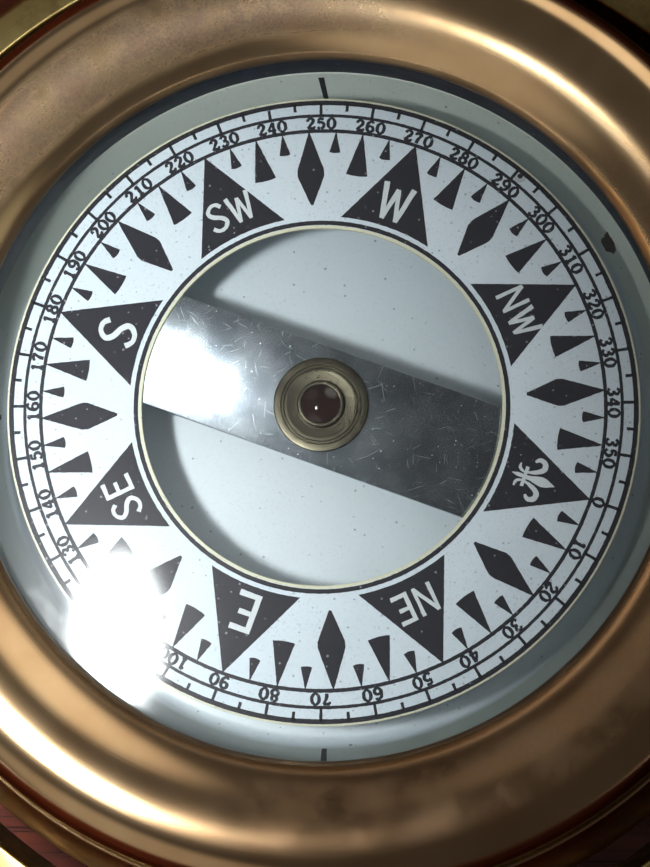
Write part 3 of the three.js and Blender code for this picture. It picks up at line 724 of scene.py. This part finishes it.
def add_stroke(shape, kind, points, place, low, high, weight, spread):
    """Adds one stroke of a glyph. place turns glyph units into a point of the card."""
    closed = kind == "loop"
    line = straight_line(points) if kind == "line" else smooth_line(points, closed)
    row = [line[-1], *line, line[0]] if closed else [line[0], *line, line[-1]]
    lefts, rights = [], []
    for behind, (x, y, half), ahead in zip(row, line, row[2:]):
        along = Vector((ahead[0] - behind[0], ahead[1] - behind[1])).normalized()
        along *= half * weight + spread
        lefts.append(place(x - along.y, y + along.x))
        rights.append(place(x + along.y, y - along.x))
    add_strip(shape, lefts, rights, low, high, closed)


def card_placer(radius, mark, height, middle):
    """Places glyph units on the card with their tops outward, middle being the x under the mark."""
    angle = math.radians(mark - HEADING)
    out = Vector((math.sin(angle), math.cos(angle)))
    side = Vector((math.cos(angle), -math.sin(angle)))
    def place(x, y):
        return out * (radius + (y - 0.5) * height) + side * ((x - middle) * height)
    return place


def add_glyph(shape, strokes, place, low, high, weight=1.0, spread=0.0):
    """Adds a glyph. Each stroke ends a hair higher than the last, so that no two tops coincide."""
    for index, (kind, points) in enumerate(strokes):
        add_stroke(shape, kind, points, place, low, high + index * STROKE_RISE, weight, spread)


def add_circle(shape, radius, width):
    marks = [360 * step / LINE_STEPS for step in range(LINE_STEPS)]
    lefts, rights = ([card_point(radius + half, mark) for mark in marks] for half in (width / 2, -width / 2))
    add_strip(shape, lefts, rights, INK_LOW, INK_TOP, closed=True)


def add_tick(shape, mark, outer, inner):
    place = card_placer(0, mark, 1, 0)
    line = straight_line([(0, inner + 0.5), (0, outer + 0.5)])
    lefts, rights = ([place(half, y) for _, y in line] for half in (-TICK_WIDTH / 2, TICK_WIDTH / 2))
    add_strip(shape, lefts, rights, INK_LOW, INK_TOP)


def dial_lines():
    """Circles and ticks of the degree scale, and the circle at the card's opening."""
    shape = bmesh.new()
    for radius, width in CIRCLES:
        add_circle(shape, radius, width)
    for mark in range(0, 360, 5):
        inner = TICK_LINE if mark % 10 == 0 else OUTER_LINE - SHORT_TICK
        add_tick(shape, mark, OUTER_LINE, inner)
    return shape


def numerals():
    """Numbers 0 to 350 every ten degrees, set round the card one digit at a time."""
    shape = bmesh.new()
    radius = (TICK_LINE + NUMBER_LINE) / 2
    for mark in range(0, 360, 10):
        text = str(mark)
        for index, digit in enumerate(text):
            shift = (index - (len(text) - 1) / 2) * NUMBER_PITCH
            turned = mark + math.degrees(shift / radius)
            place = card_placer(radius, turned, NUMBER_HEIGHT, DIGIT_WIDTH / 2)
            add_glyph(shape, digit_strokes(digit), place, INK_LOW, INK_TOP, NUMBER_WEIGHT, NUMBER_SPREAD)
    return shape


def edge_points(corners, spacing=1.8):
    """Points along the straight sides of a closed outline, about evenly apart."""
    points = []
    for start, end in zip(corners, [*corners[1:], corners[0]]):
        steps = max(1, round(math.dist(start, end) / spacing))
        points += straight_line([start, end], steps)[:-1]
    return points


def add_figure(shape, corners, mark):
    """Adds a printed figure. Its corners are (across, radius) in pixels, at a mark."""
    place = card_placer(0, mark, 1, 0)
    outline = []
    for x, y in edge_points(corners):
        point = crude(*place(x * PIXEL, y * PIXEL + 0.5))
        if not outline or (Vector(point) - Vector(outline[-1])).length > MM / 200:
            outline.append(point)
    add_plate(shape, outline, INK_LOW, INK_TOP)


def wedge(tip, base, half_width, bow):
    """Corners of a long triangle: its tip outward, its base bowed towards the middle or away."""
    steps = 8
    corners = [(0.4, tip), (half_width, base)]
    for step in range(1, steps):
        share = 1 - 2 * step / steps
        corners.append((half_width * share, base + bow * (1 - share * share)))
    return [*corners, (-half_width, base), (-0.4, tip)]


# Figures of the star in the photograph's pixels. A triangle is its tip, base, half width and bow.
POINT_PIXELS = (279, 185.6, 46.3, 5.6)
LESSER_PIXELS = (279, 236, 11, -1.0)
LEAST_PIXELS = (278.5, 258, 5.6, -1.2)
LOZENGE_PIXELS = ((0.5, 279), (13.5, 239), (13.5, 233), (1.2, 203))


def star():
    """Eight large triangles, eight lozenges, and the lesser triangles between them."""
    shape = bmesh.new()
    lozenge = [*LOZENGE_PIXELS, *((-x, y) for x, y in reversed(LOZENGE_PIXELS))]
    for count, start, figure in (
        (8, 0, wedge(*POINT_PIXELS)),
        (8, 0.5, lozenge),
        (16, 0.5, wedge(*LESSER_PIXELS)),
        (32, 0.5, wedge(*LEAST_PIXELS)),
    ):
        for index in range(count):
            add_figure(shape, figure, (index + start) * 360 / count)
    return shape


LETTER_RADIUS = 217 * PIXEL
LETTER_HEIGHT = 35 * PIXEL
LETTER_GAP = 2.5 * PIXEL
SINGLE_SHARE = 1.12  # heights of a lone letter, of one in a pair and of the lily
PAIR_SHARE = 0.86
LILY_SHARE = 1.25
LILY_RADIUS = LETTER_RADIUS + 4 * PIXEL
POINTS = {45: "NE", 90: "E", 135: "SE", 180: "S", 225: "SW", 270: "W", 315: "NW"}


def letters():
    """White letters of seven points, tops outward."""
    shape = bmesh.new()
    for mark, text in POINTS.items():
        height = LETTER_HEIGHT * (SINGLE_SHARE if len(text) == 1 else PAIR_SHARE)
        widths = [GLYPH_WIDTHS[letter] * height for letter in text]
        start = -(sum(widths) + LETTER_GAP * (len(text) - 1)) / 2
        for letter, width in zip(text, widths):
            middle = -start / height
            place = card_placer(LETTER_RADIUS, mark, height, middle)
            add_glyph(shape, read_strokes(GLYPHS[letter]), place, INK_TOP, WHITE_TOP)
            start += width + LETTER_GAP
    return shape


def lily():
    """The north mark: a plain white fleur-de-lis on the black triangle."""
    shape = bmesh.new()
    upright = card_placer(LILY_RADIUS, 0, LETTER_HEIGHT * LILY_SHARE, 0)
    add_glyph(shape, read_strokes(LILY_MIDDLE), upright, INK_TOP, WHITE_TOP)
    for side in (1, -1):
        def place(x, y):
            return upright(x * side, y)
        add_glyph(shape, read_strokes(LILY_SIDE), place, INK_TOP, WHITE_TOP + len(LILY_MIDDLE) * STROKE_RISE)
    return shape


# Pieces that turn with the card

CARD_EASE = 0.06 * MM
NEEDLE_EASE = 0.12 * MM


def needle_bar():
    """The steel bar under the card, along its north to south line."""
    north = Vector(card_point(1, 0))
    side = Vector((-north.y, north.x))
    flat = [Vector(v.co[:2]) for v in frame["nodes"]["needle_bar"].data.vertices]
    length, width = (2 * max(v.dot(way) for v in flat) for way in (north, side))
    shape = block((length, width, NEEDLE_TOP - NEEDLE_LOW), (0, 0, 0), NEEDLE_EASE)
    spin = Matrix.Rotation(math.atan2(north.y, north.x), 4, "Z")
    return moved(shape, Matrix.Translation((0, 0, (NEEDLE_LOW + NEEDLE_TOP) / 2)) @ spin)


def cap_body():
    """The cap: a flat flange, two fine grooves, a shallow dish and the bead that holds the jewel."""
    seat = NEEDLE_TOP + SEAT_GAP
    top = seat + 0.45 * MM
    dish = top - 0.14 * MM
    bead = JEWEL_EDGE + 0.5 * MM
    outline = [(0, seat), (CAP_EDGE, seat, 0.05 * MM), (CAP_EDGE, top - 0.04 * MM, 0.16 * MM)]
    for groove in (4.8 * MM, 4.45 * MM):
        outline += [
            (groove + 0.08 * MM, top, 0.02 * MM),
            (groove, top - 0.08 * MM, 0.02 * MM),
            (groove - 0.08 * MM, top, 0.02 * MM),
        ]
    outline += [
        (4.1 * MM, top, 0.08 * MM),
        (bead + 0.1 * MM, dish, 0.06 * MM),
        (bead, CAP_HIGH, 0.2 * MM),
        (JEWEL_EDGE + 0.03 * MM, CAP_HIGH, 0.1 * MM),
        (JEWEL_EDGE + 0.03 * MM, CAP_HIGH - 0.5 * MM),
        (0, CAP_HIGH - 0.5 * MM),
    ]
    return lathe(filleted(outline), SMALL)


def cap_jewel():
    base = CAP_HIGH - 0.45 * MM
    girdle = CAP_HIGH - 0.05 * MM
    rise = JEWEL_HIGH - girdle
    sphere = (JEWEL_EDGE ** 2 + rise ** 2) / (2 * rise)
    start = math.acos(JEWEL_EDGE / sphere)
    dome = arc((0, JEWEL_HIGH - sphere), sphere, start, QUARTER, 16)
    return lathe([(0, base), (JEWEL_EDGE, base), *dome[:-1], (0, JEWEL_HIGH)], SMALL)


def make_card():
    ink = printing_ink()
    white = lettering_white()
    card = hoop(CARD_HOLE, CARD_EDGE, CARD_LOW, CARD_TOP, CARD_EASE, CARD_EASE)
    paper = card_paper()
    cap = aged_brass("cap_brass", (86, 81, 67), (54, 50, 42), 0.18, 9000)
    add_piece("printed_card", card, paper, "card", "card_paper", "card_ring")
    for name, print_shape, color in (
        ("lines", dial_lines, ink),
        ("numerals", numerals, ink),
        ("star", star, ink),
        ("letters", letters, white),
        ("north_lily", lily, white),
    ):
        add_piece(f"dial_{name}", print_shape(), color, "card", "card_paper")
    add_piece("magnet_bar", needle_bar(), scratched_steel(), "card", "steel", "needle_bar")
    add_piece("cap_setting", cap_body(), cap, "card", "cap_brass", "cap_body")
    add_piece("cap_stone", cap_jewel(), garnet(), "card", "jewel", "cap_jewel")
    assign("cap_nut", cap)


# Pieces that tilt with the bowl

def bezel():
    """Lip, broad rising band, rounded crest and steep flank."""
    crest = (LIP + CREST_WIDTH, BEZEL_CREST)
    sweep = (CREST_WIDTH ** 2 + CREST_RISE ** 2) / (2 * CREST_RISE)
    lean = math.asin(CREST_WIDTH / sweep)
    nose = 0.35 * MM
    nose_centre = (LIP + nose, LIP_TOP - nose)
    bore = GLASS_EDGE + FIT_GAP + NECK_WALL + FIT_GAP
    outline = [
        (LIP, LIP_TOP - LIP_THICKNESS),
        *arc(nose_centre, nose, math.pi, QUARTER + lean, 6),
        *arc((crest[0], crest[1] - sweep), sweep, QUARTER + lean, QUARTER, 40)[2:],
        *arc((crest[0], crest[1] - CREST_ROUNDING), CREST_ROUNDING, QUARTER, FLANK_ANGLE, 36)[1:],
        *filleted([
            (BEZEL_FOOT, BEZEL_LOW + FOOT_HEIGHT, 0.25 * MM),
            (BEZEL_FOOT, BEZEL_LOW, 0.2 * MM),
            (bore, BEZEL_LOW),
        ])[:-1],
        (bore, BEZEL_LOW),
        (bore, LIP_TOP - LIP_THICKNESS),
    ]
    return lathe(outline)


def bowl():
    """The bowl's shell: two part ellipses outside, a neck above, and the same wall within."""
    shoulder = BEZEL_FOOT - 0.15 * MM
    shoulder_high = BEZEL_LOW - SEAT_GAP
    neck = GLASS_EDGE + FIT_GAP
    neck_outside = neck + NECK_WALL
    above = (shoulder_high - GIMBAL) / math.sqrt(1 - (shoulder / BOWL_GIRTH) ** 2)
    below = (GIMBAL - BOWL_LOW) / math.sqrt(1 - (BOWL_FLAT / BOWL_GIRTH) ** 2)
    def curve(inset, low, high):
        def angle(height):
            return math.asin((height - GIMBAL) / ((below if height < GIMBAL else above) - inset))
        points = []
        steps = 60
        for step in range(steps + 1):
            here = angle(low) + (angle(high) - angle(low)) * step / steps
            half = (below if here < 0 else above) - inset
            points.append(((BOWL_GIRTH - inset) * math.cos(here), GIMBAL + half * math.sin(here)))
        return points
    ledge = CHAMBER_RIM - CHAMBER_WALL - SEAT_GAP
    ledge_rim = neck - 3.8 * MM
    ledge_under = ledge - 2.1 * MM
    inner = curve(BOWL_WALL, BOWL_LOW + BOWL_FLOOR, shoulder_high - BOWL_WALL)
    return lathe([
        (0, BOWL_LOW),
        *curve(0, BOWL_LOW, shoulder_high),
        (neck_outside, shoulder_high), (neck_outside, NECK_TOP),
        (neck, NECK_TOP), (neck, ledge),
        (ledge_rim, ledge), (ledge_rim, ledge_under),
        (neck_outside, ledge_under), (neck_outside, shoulder_high - BOWL_WALL),
        *reversed(inner),
        (0, BOWL_LOW + BOWL_FLOOR),
    ])


def boss():
    """One boss for a gimbal pivot, along Z, with a soft foot where it joins the bowl."""
    radius = 4.5 * MM
    start = BOWL_GIRTH - 1.2 * MM
    bore = 2 * MM
    return lathe(filleted([
        (bore, start), (radius + 1.2 * MM, start),
        (radius + 0.7 * MM, BOWL_GIRTH - 0.1 * MM, 0.4 * MM),
        (radius, BOWL_GIRTH + 0.7 * MM, 0.8 * MM), (radius, BOSS_FACE, 0.35 * MM),
        (bore, BOSS_FACE, 0.2 * MM),
    ]), SMALL)


def glass():
    chamfer = 0.3 * MM
    return lathe([
        (0, GLASS_LOW), (GLASS_EDGE - chamfer, GLASS_LOW),
        (GLASS_EDGE, GLASS_LOW + chamfer), (GLASS_EDGE, GLASS_HIGH - chamfer),
        (GLASS_EDGE - chamfer, GLASS_HIGH), (0, GLASS_HIGH),
    ])


def wall_radius(height):
    """Radius of the chamber's sloping wall at a height."""
    share = (height - FLOOR_TOP) / (CHAMBER_RIM - FLOOR_TOP)
    return SEAT_RIM - CHAMBER_TAPER * (1 - share)


def chamber():
    floor_edge = wall_radius(FLOOR_TOP)
    cove = 1.4 * MM
    flange_low = CHAMBER_RIM - CHAMBER_WALL
    return lathe(filleted([
        (0, CHAMBER_LOW), (floor_edge + CHAMBER_WALL, CHAMBER_LOW, cove),
        (SEAT_RIM + CHAMBER_WALL, flange_low), (GLASS_EDGE, flange_low),
        (GLASS_EDGE, CHAMBER_RIM), (SEAT_RIM, CHAMBER_RIM, 0.3 * MM),
        (floor_edge, FLOOR_TOP, cove), (0, FLOOR_TOP),
    ]))


SEAT_EASE = 0.2 * MM
LUBBER_WIDTH = 0.75 * MM
LUBBER_TOP = CHAMBER_RIM - 0.9 * MM
LUBBER_LOW = CHAMBER_RIM - 5.6 * MM


def lubber_lines():
    """Four short black lines painted down the chamber's wall."""
    shape = bmesh.new()
    skin = 0.03 * MM
    for quarter in range(4):
        lean = 0.5 * MM if quarter == 1 else 0.12 * MM
        rows = []
        for step in range(9):
            share = step / 8
            height = LUBBER_TOP + (LUBBER_LOW - LUBBER_TOP) * share
            radius = wall_radius(height)
            middle = quarter * QUARTER - lean * (share - 0.5) / radius
            half = LUBBER_WIDTH / 2 * (1 - 0.15 * share) / radius
            rows.append([
                shape.verts.new((*polar(radius + depth, middle + side * half), height))
                for depth in (-skin, skin) for side in (-1, 1)
            ])
        add_bar(shape, rows)
    return shape


def make_bowl():
    brass = aged_brass("bowl_brass", (176, 114, 72), (108, 64, 40), 0.2, 3000)
    add_piece("bezel", bezel(), bezel_brass(), "bowl", "bezel_brass", "bezel_ring")
    add_piece("bowl_body", bowl(), brass, "bowl", "bowl_brass", "bowl_shell")
    for hand, side in (("right", 1), ("left", -1)):
        add_piece(f"bowl_boss_{hand}", on_gimbal(boss(), side, "Y"), brass, "bowl", "bowl_brass")
    add_piece("glass_pane", glass(), clear_glass(), "bowl", "glass", "glass")
    seat = hoop(SEAT_RIM, GLASS_EDGE, SEAT_LOW, SEAT_HIGH, SEAT_EASE, SEAT_EASE)
    add_piece("dark_seat_ring", seat, blackened_brass(), "bowl", "blackened_brass", "glass_seat_ring")
    add_piece("white_chamber", chamber(), white_paint(), "bowl", "white_paint", "card_chamber")
    add_piece("lubber_lines", lubber_lines(), printing_ink(), "bowl", "white_paint")


# Gimbal ring, its pivots and its bearings

PLATE_EASE = 0.25 * MM
BEARING_SPIN = 55  # how far the screws happen to be turned, in radians
BASE_SPIN = 0.7


def slot_across(diameter, height, top):
    return block((diameter + 2 * MM, diameter * 0.16, height * 0.9), (0, 0, top))


def pivot_screw():
    """Slotted pivot screw along Z."""
    start, end = (corner.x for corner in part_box("bowl_pivot_screw_right"))
    pin, shank, head = 1.7 * MM, 3 * MM, 4.2 * MM
    thickness = 2.2 * MM
    solid = lathe(filleted([
        (0, start), (pin, start, 0.3 * MM),
        (pin, RING_INNER), (shank, RING_INNER, 0.2 * MM),
        (shank, end - thickness), (head, end - thickness, 0.2 * MM),
        (head, end, 0.6 * MM), (0, end),
    ]), SMALL)
    return cut_from(solid, slot_across(2 * head, thickness, end))


def trunnion():
    """Trunnion along Z: a shank in the ring, a collar and the pin that lies in the bearing."""
    start, end = (corner.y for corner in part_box("ring_trunnion_back"))
    shank, collar, pin = 3 * MM, 4.2 * MM, 2.2 * MM
    inside = RING_OUTER + SEAT_GAP
    outside = inside + 1.3 * MM
    return lathe(filleted([
        (0, start), (shank, start),
        (shank, inside), (collar, inside, 0.2 * MM),
        (collar, outside, 0.3 * MM), (pin, outside, 0.2 * MM),
        (pin, end, 0.35 * MM), (0, end),
    ]), SMALL)


def wood_screw(length):
    """Countersunk slotted screw that points up from z = 0."""
    head = 2.8 * MM
    shank = 1.4 * MM
    solid = lathe(filleted([
        (0, 0), (head, 0, 0.15 * MM),
        (shank, head - shank, 0.3 * MM), (shank, length - shank),
        (0, length),
    ]), SMALL)
    return cut_from(solid, slot_across(2 * head, 1.3 * MM, 0))


def make_gimbal():
    ring_brass = aged_brass("ring_brass", (206, 184, 118), (146, 122, 72), 0.24, 6000)
    fitting = aged_brass("fitting_brass", (198, 160, 96), (128, 96, 58), 0.24, 5000)
    ring = hoop(RING_INNER, RING_OUTER, RING_LOW, RING_HIGH, 0.5 * MM, 1.5 * MM)
    add_piece("gimbal", ring, ring_brass, "ring", "ring_brass", "gimbal_ring")
    for node, kind, make, side, axis in (
        ("bowl_pivot_screw_right", "slotted", pivot_screw, 1, "Y"),
        ("bowl_pivot_screw_left", "slotted", pivot_screw, -1, "Y"),
        ("ring_trunnion_back", "turned", trunnion, -1, "X"),
        ("ring_trunnion_front", "turned", trunnion, 1, "X"),
    ):
        shape = on_gimbal(make(), side, axis)
        add_piece(f"{node}_{kind}", shape, fitting, "ring", "fitting_brass", node)
    for end, way in (("back", 1), ("front", -1)):
        node = f"bearing_plate_{end}"
        add_piece(f"{node}_eased", eased_copy(node, PLATE_EASE), fitting, "box", "fitting_brass", node)
        for hand, spin in (("left", -BEARING_SPIN), ("right", BEARING_SPIN)):
            add_screw(f"bearing_screw_{end}_{hand}", 1, way, way * spin, fitting)
    for index in range(1, 5):
        add_screw(f"base_screw_{index}", 2, 1, BASE_SPIN * index, fitting)
    for node in ("ballast_screw", "pivot_post", "pivot_nut"):
        assign(node, fitting)


def add_screw(node, axis, way, spin, material):
    """A wood screw along axis 1 or 2, which is Y or Z. It points up the axis or down it."""
    low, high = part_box(node)
    head = (low + high) / 2
    head[axis] = low[axis] if way > 0 else high[axis]
    tilt = -way * QUARTER if axis == 1 else 0
    turn = Matrix.Rotation(tilt, 4, "X") @ Matrix.Rotation(spin, 4, "Z")
    screw = moved(wood_screw(high[axis] - low[axis]), Matrix.Translation(head) @ turn)
    add_piece(f"{node}_slotted", screw, material, "box", "fitting_brass", node)


def assign(node, material):
    """Gives a CAD node that stays as it is a better material."""
    materials = frame["nodes"][node].data.materials
    materials.clear()
    materials.append(material)


# Box

BOARD_EASE = 0.5 * MM


def make_box():
    along_x = mahogany("mahogany_along", 0)
    along_y = mahogany("mahogany_across", 1)
    for part in ("base", "wall_back", "wall_front", "wall_left", "wall_right"):
        node = f"box_{part}"
        wood = along_y if part in ("wall_left", "wall_right") else along_x
        add_piece(f"{node}_board", eased_copy(node, BOARD_EASE), wood, "box", "mahogany", node)


# Camera, lights and floor

CAMERA_PLACE = (9 * MM, -27.8 * MM, LIP_TOP + 180 * MM)
CAMERA_TARGET = (0.68 * MM, -4.1 * MM, LIP_TOP)
VIEW_ANGLE = math.radians(31.2)
FLASH_PLACE = Vector((-54 * MM, -27 * MM, LIP_TOP + 165 * MM))
FLASH_TARGET = (-66 * MM, -14 * MM, LIP_TOP)
FLASH_SIZE = (26 * MM, 44 * MM)
FLASHES = (("flash_beam", 0.084, 68), ("flash_spill", 0.036, 180))  # power in watts, spread in degrees
FILL_PLACE = (60 * MM, 50 * MM, LIP_TOP + 350 * MM)
FILL_SIZE = (300 * MM, 300 * MM)
FILL_POWER = 0.11
FLOOR_HALF = 3000 * MM


def aim(item, target, up):
    """Turns a camera or light to a point, with its top towards up."""
    back = (item.location - Vector(target)).normalized()
    right = Vector(up).cross(back).normalized()
    top = back.cross(right)
    item.matrix_world = Matrix.Translation(item.location) @ Matrix((right, top, back)).transposed().to_4x4()


def add_camera():
    data = bpy.data.cameras.new("camera")
    data.sensor_width = 36
    data.lens = data.sensor_width / 2 / math.tan(VIEW_ANGLE / 2)
    data.clip_start = 0.01
    camera = add_object("camera", data)
    camera.location = CAMERA_PLACE
    aim(camera, CAMERA_TARGET, (0, 1, 0))
    bpy.context.scene.camera = camera


def add_light(name, place, target, size, power):
    data = bpy.data.lights.new(name, "AREA")
    data.shape = "RECTANGLE"
    data.size, data.size_y = size
    data.energy = power
    light = add_object(name, data)
    light.location = place
    aim(light, target, (0, 1, 0.2))
    return light


def soften_edges(light):
    """Fades a light from its middle to its rim, so that its mirror image has no hard edge."""
    light.use_nodes = True
    made = Nodes(light.node_tree)
    emission = next(node for node in light.node_tree.nodes if node.type == "EMISSION")
    spot = made.node("NewGeometry").outputs["Parametric"]
    away = made.vector("DISTANCE", spot, (0.5, 0.5, 0), "Value")
    sharpness = 25
    fade = made.math("EXPONENT", made.times(made.times(away, away), -sharpness))
    made.tree.links.new(made.times(fade, sharpness / math.pi), emission.inputs["Strength"])


# Bright parts of the sky: direction seen from above, elevation and reach in degrees, strength, colour
SKY_PANELS = {
    "back_left": ((-0.62, 0.79), 42, 22, 0.2, (1, 0.96, 0.9)),
    "back_right": ((0.57, 0.82), 33, 24, 1.1, (1, 0.95, 0.88)),
    "front_left": ((-0.45, -0.89), 28, 30, 0.4, (1, 0.96, 0.88)),
    "right": ((0.95, -0.3), 18, 18, 0.3, (0.94, 1, 0.88)),
}
SKY_ZENITH = (0.075, 0.073, 0.075)
HORIZON_GLOW = 4.8
HORIZON_REACH = 0.12
KEY_SIDE = (-0.6, -0.8, 0)
BACKDROP = (0.25, 0.25, 0.245)  # what the camera sees past the floor


def add_sky():
    """Soft studio light from all round: a bright horizon for the box's sides, dim overhead."""
    world = bpy.data.worlds.new("studio")
    world.use_nodes = True
    bpy.context.scene.world = world
    made = Nodes(world.node_tree)
    direction = made.node("TexCoord").outputs["Generated"]
    light = SKY_ZENITH
    for (x, y), elevation, reach, strength, color in SKY_PANELS.values():
        level = math.cos(math.radians(elevation))
        toward = (x * level, y * level, math.sin(math.radians(elevation)))
        rim = math.cos(math.radians(reach))
        inside = made.band(made.along(direction, toward), rim, 1 - (1 - rim) * 0.2)
        shine = made.vector("MULTIPLY", color, made.times(inside, strength))
        light = made.vector("ADD", light, shine)
    height = made.math("ABSOLUTE", made.along(direction, (0, 0, 1)))
    low = made.inverse(made.band(height, 0.02, HORIZON_REACH))
    side = made.times(made.along(direction, KEY_SIDE), 0.45)
    glow = made.times(made.times(low, made.plus(side, 0.6)), HORIZON_GLOW)
    light = made.vector("ADD", light, glow)
    seen = made.node("LightPath").outputs["Is Camera Ray"]
    unseen = made.vector("MULTIPLY", light, made.inverse(seen))
    shown = made.vector("ADD", unseen, made.vector("MULTIPLY", BACKDROP, seen))
    made.tree.links.new(shown, made.tree.nodes["Background"].inputs["Color"])


def light_scene():
    """A flash beside the camera with a beam and a wide spill, a fill that no mirror shows, and the sky."""
    for name, power, spread in FLASHES:
        flash = add_light(name, FLASH_PLACE, FLASH_TARGET, FLASH_SIZE, power).data
        flash.color = (0.96, 0.98, 1)
        flash.spread = math.radians(spread)
        soften_edges(flash)
    fill = add_light("room_fill", FILL_PLACE, (0, 0, LIP_TOP), FILL_SIZE, FILL_POWER)
    fill.visible_glossy = False
    fill.visible_transmission = False
    add_sky()
    bpy.context.scene.view_settings.view_transform = "Standard"


def add_floor():
    mesh = bpy.data.meshes.new("floor")
    corners = [(x * FLOOR_HALF, y * FLOOR_HALF, 0) for x, y in ((-1, -1), (1, -1), (1, 1), (-1, 1))]
    mesh.from_pydata(corners, [], [(0, 1, 2, 3)])
    floor = add_object("floor", mesh)
    made = Surface("floor_grey", Roughness=0.8)
    made.color(made.noise(6, 3), (236, 234, 230), (242, 240, 236))
    mesh.materials.append(made.material)


add_camera()
light_scene()
add_floor()
make_card()
make_bowl()
make_gimbal()
make_box()
assign("ballast_weight", cast_lead())
assign("pivot_point", bpy.data.materials["scratched_steel"])
